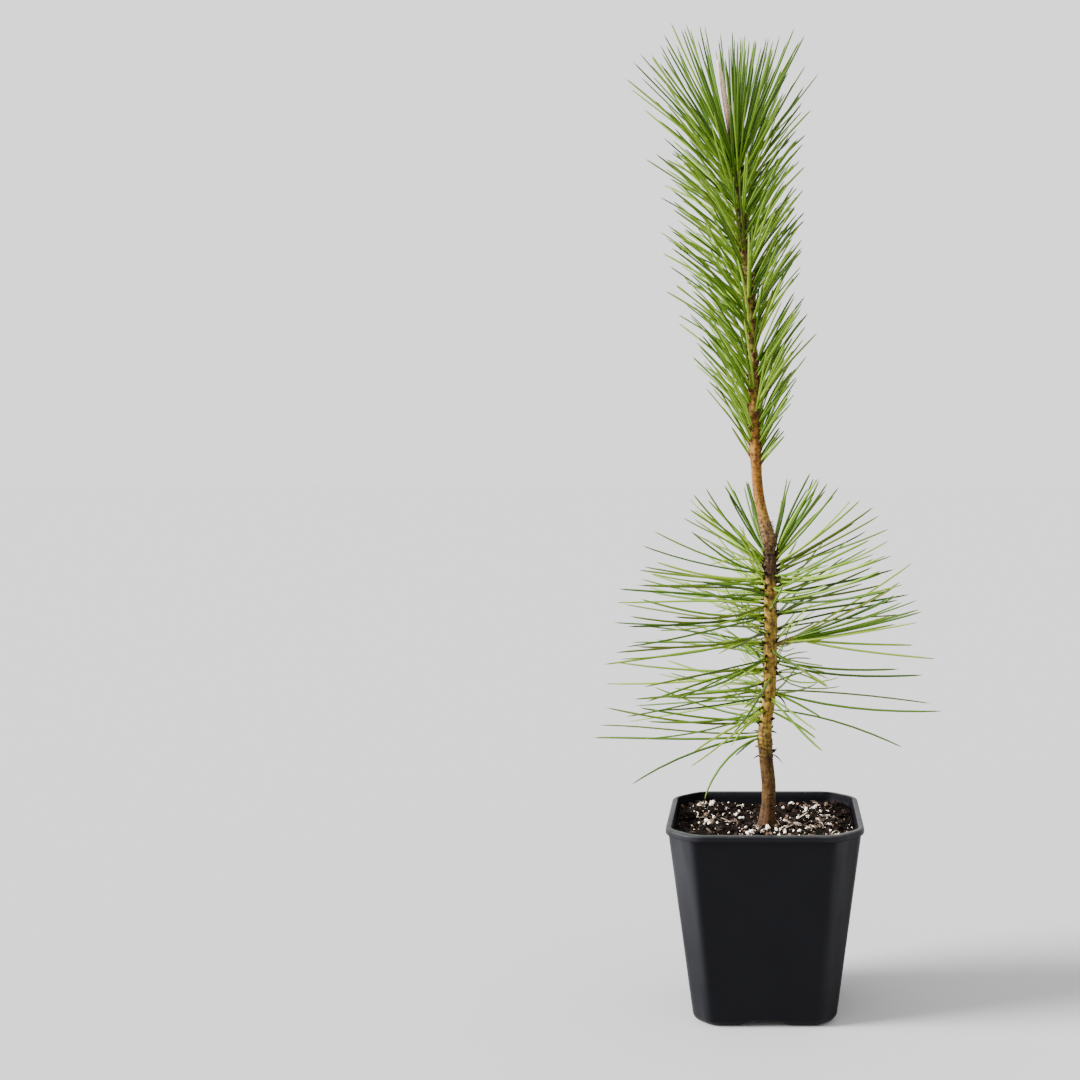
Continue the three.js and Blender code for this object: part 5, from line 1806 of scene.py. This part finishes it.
class YOUNGPINE_OT_mix(bpy.types.Operator):
    """Makes the bed of potting mix and strews its perlite, bark chips and shreds"""

    bl_idname = "young_pine.mix"
    bl_label = "Make the potting mix"

    def execute(self, context):
        colours, sizes = context.scene.young_pine_colours, context.scene.young_pine_sizes
        skin, marks = mix_skin()
        bed = mix_material(colours)
        add_piece("potting_mix_bed", skin, [bed], ["potting_mix"], marks=marks)
        skin, bands = lumps(PERLITE, sizes.perlite_grains)
        materials = [
            plain_material("perlite", colours.perlite, "perlite"),
            plain_material("stained_perlite", colours.perlite_stained, "perlite"),
        ]
        add_piece("perlite_grains", skin, materials, bands=bands, smooth=False)
        skin, bands = lumps(CHIPS, sizes.bark_chips)
        materials = [
            plain_material("dark_bark_chips", colours.chip, "chip"),
            plain_material("brown_bark_chips", colours.chip_brown, "brown chip"),
        ]
        add_piece("bark_chips", skin, materials, bands=bands, smooth=False)
        skin, bands = shreds(SHREDS, sizes.bark_shreds)
        materials = [
            plain_material("pale_bark_shreds", colours.shred, "shred"),
            plain_material("brown_bark_shreds", colours.shred_brown, "shred"),
        ]
        add_piece("bark_shreds", skin, materials, bands=bands)
        return {"FINISHED"}


class YOUNGPINE_OT_trunk(bpy.types.Operator):
    """Makes the trunk with its bark's relief, and the dry scales and curls on it"""

    bl_idname = "young_pine.trunk"
    bl_label = "Make the trunk"

    def execute(self, context):
        colours = context.scene.young_pine_colours
        skin, marks = trunk_skin()
        add_piece("trunk_bark", skin, [bark_material(colours)], ["trunk"], marks=marks)
        add_piece("bark_scales", scales_skin(), [plain_material("dry_scales", colours.peel, "scale")])
        add_piece("dry_curls", curls_skin(), [plain_material("dry_curls", colours.scar, "curl")])
        return {"FINISHED"}


class YOUNGPINE_OT_buds(bpy.types.Operator):
    """Makes the candle at the trunk's tip and the side shoot"""

    bl_idname = "young_pine.buds"
    bl_label = "Make the candle and the side shoot"

    def execute(self, context):
        colours = context.scene.young_pine_colours
        foot = trunk_centre(np.array([TRUNK_TIP - CANDLE_SUNK]))[0]
        skin, marks = scaly_skin(foot, CANDLE_TIP, candle_radius, rows=220, scale_length=2.1, depth=0.2)
        add_piece("candle_scales", skin, [bud_material(colours)], ["candle"], marks=marks)
        root = trunk_centre(np.array([SHOOT_HEIGHT]))[0]
        outward = unit(SHOOT_TIP - root)
        start = root + outward * (trunk_radius(SHOOT_HEIGHT) - SHOOT_SUNK)
        skin, marks = scaly_skin(
            start, SHOOT_TIP + outward, shoot_radius, rows=80, scale_length=1.7, depth=0.3)
        add_piece("side_shoot_scales", skin, [shoot_material(colours)], ["side_shoot"], marks=marks)
        return {"FINISHED"}


class YOUNGPINE_OT_needles(bpy.types.Operator):
    """Makes the needles in pairs with their sheaths, joined by their greens"""

    bl_idname = "young_pine.needles"
    bl_label = "Make the needles"

    def execute(self, context):
        colours, sizes = context.scene.young_pine_colours, context.scene.young_pine_sizes
        needles, points, along = standing_needles()
        bunch, bunch_points, bunch_along = bunch_needles()
        kinds = np.concatenate([kinds_of(needles), kinds_of(bunch)])
        azimuth = np.concatenate([needles["azimuth"], bunch["azimuth"]])
        number = np.concatenate([each["index"] * 2 + each["hand"] for each in (needles, bunch)])
        young = needles["height"] > YOUNG_FROM
        slim = np.where(needles["index"] >= STRAY_FROM, STRAY_SLIMMER, np.where(young, SLIMMER_YOUNG, 1.0))
        slimmer = np.concatenate([slim, np.ones(len(bunch_points))])
        lines, tangents = np.concatenate([points, bunch_points]), np.concatenate([along, bunch_along])
        rings = needle_rings(lines, tangents, azimuth, number, slimmer, sizes)
        base = plain_material("needle_base", colours.needle_base, "needle end")
        tip = plain_material("needle_tip", colours.needle_tip, "needle end")
        for kind, green in enumerate(GREENS):
            alike = rings[kinds == kind]
            body = plain_material(f"needle_{green}", getattr(colours, f"needle_{green}"), "needle")
            stands_for = MASSES[kind::len(GREENS)]
            bands = tube_bands(len(alike), NEEDLE_SIDES, NEEDLE_BANDS)
            add_piece(f"needles_{green}", tubes(alike), [body, base, tip], stands_for, bands)
        old_length, young_length = METRE * sizes.old_sheath, METRE * sizes.young_sheath
        skin, bands = sheath_skin(needles, points, along, old_length, young_length)
        old_sheath = plain_material("old_sheath", colours.sheath_old, "sheath")
        young_sheath = plain_material("young_sheath", colours.sheath_young, "sheath")
        add_piece("needle_sheaths", skin, [old_sheath, young_sheath], bands=bands)
        wound = wound_needles()
        pegs = peg_skin(chosen(wound, is_thinned(wound)))
        add_piece("dropped_needle_pegs", pegs, [old_sheath])
        return {"FINISHED"}


class YOUNGPINE_OT_stage(bpy.types.Operator):
    """Makes the floor, the surround, the light and the camera"""

    bl_idname = "young_pine.stage"
    bl_label = "Make the stage"

    def execute(self, context):
        stage = context.scene.young_pine_stage
        mesh = bpy.data.meshes.new("studio_floor")
        sides = ((-1, -1), (1, -1), (1, 1), (-1, 1))
        corners = [(right * FLOOR_REACH, back * FLOOR_REACH, 0) for right, back in sides]
        mesh.from_pydata(corners, [], [(0, 1, 2, 3)])
        finish = Finish("pale_floor", stage.floor, roughness=1.0, specular=0.0)
        mesh.materials.append(finish.material)
        floor = bpy.data.objects.new("studio_floor", mesh)
        context.scene.collection.objects.link(floor)
        world = bpy.data.worlds.new("white_surround")
        world.use_nodes = True
        backing = world.node_tree.nodes["Background"]
        backing.inputs["Color"].default_value = (1, 1, 1, 1)
        backing.inputs["Strength"].default_value = stage.surround
        context.scene.world = world
        light = bpy.data.lights.new("key_light", "SUN")
        light.energy = stage.key
        light.angle = stage.key_spread
        lamp = bpy.data.objects.new("key_light", light)
        lamp.rotation_euler = KEY_TURN
        context.scene.collection.objects.link(lamp)
        camera = bpy.data.cameras.new("photo_view")
        camera.sensor_width = SENSOR_WIDTH
        camera.lens = stage.camera_lens
        camera.shift_x = stage.camera_shift
        view = bpy.data.objects.new("photo_view", camera)
        view.location = (0, -stage.camera_distance, stage.camera_height)
        view.rotation_euler = (math.pi / 2 - stage.camera_pitch, 0, 0)
        context.scene.collection.objects.link(view)
        context.scene.camera = view
        return {"FINISHED"}


class YOUNGPINE_PT_panel(bpy.types.Panel):
    """Lists the settings and the steps"""

    bl_idname = "YOUNGPINE_PT_panel"
    bl_label = "Young pine"
    bl_space_type = "VIEW_3D"
    bl_region_type = "UI"
    bl_category = "Young pine"

    def draw(self, context):
        for group in (context.scene.young_pine_sizes, context.scene.young_pine_colours,
                      context.scene.young_pine_stage):
            box = self.layout.box()
            for name in group.__annotations__:
                box.prop(group, name)
        for operator in OPERATORS:
            self.layout.operator(operator.bl_idname)


OPERATORS = [
    YOUNGPINE_OT_stage,
    YOUNGPINE_OT_pot,
    YOUNGPINE_OT_mix,
    YOUNGPINE_OT_trunk,
    YOUNGPINE_OT_buds,
    YOUNGPINE_OT_needles,
]
GROUPS = [YoungPineSizes, YoungPineColours, YoungPineStage]


def register():
    """Registers the classes and hangs the settings on the scene."""
    for each in [*GROUPS, *OPERATORS, YOUNGPINE_PT_panel]:
        bpy.utils.register_class(each)
    bpy.types.Scene.young_pine_sizes = bpy.props.PointerProperty(type=YoungPineSizes)
    bpy.types.Scene.young_pine_colours = bpy.props.PointerProperty(type=YoungPineColours)
    bpy.types.Scene.young_pine_stage = bpy.props.PointerProperty(type=YoungPineStage)


def unregister():
    """Takes away what register added."""
    del bpy.types.Scene.young_pine_stage
    del bpy.types.Scene.young_pine_colours
    del bpy.types.Scene.young_pine_sizes
    for each in reversed([*GROUPS, *OPERATORS, YOUNGPINE_PT_panel]):
        bpy.utils.unregister_class(each)


def main():
    """Builds the stage and every piece in order."""
    register()
    for operator in OPERATORS:
        family, name = operator.bl_idname.split(".")
        getattr(getattr(bpy.ops, family), name)()


if __name__ == "__main__":
    main()
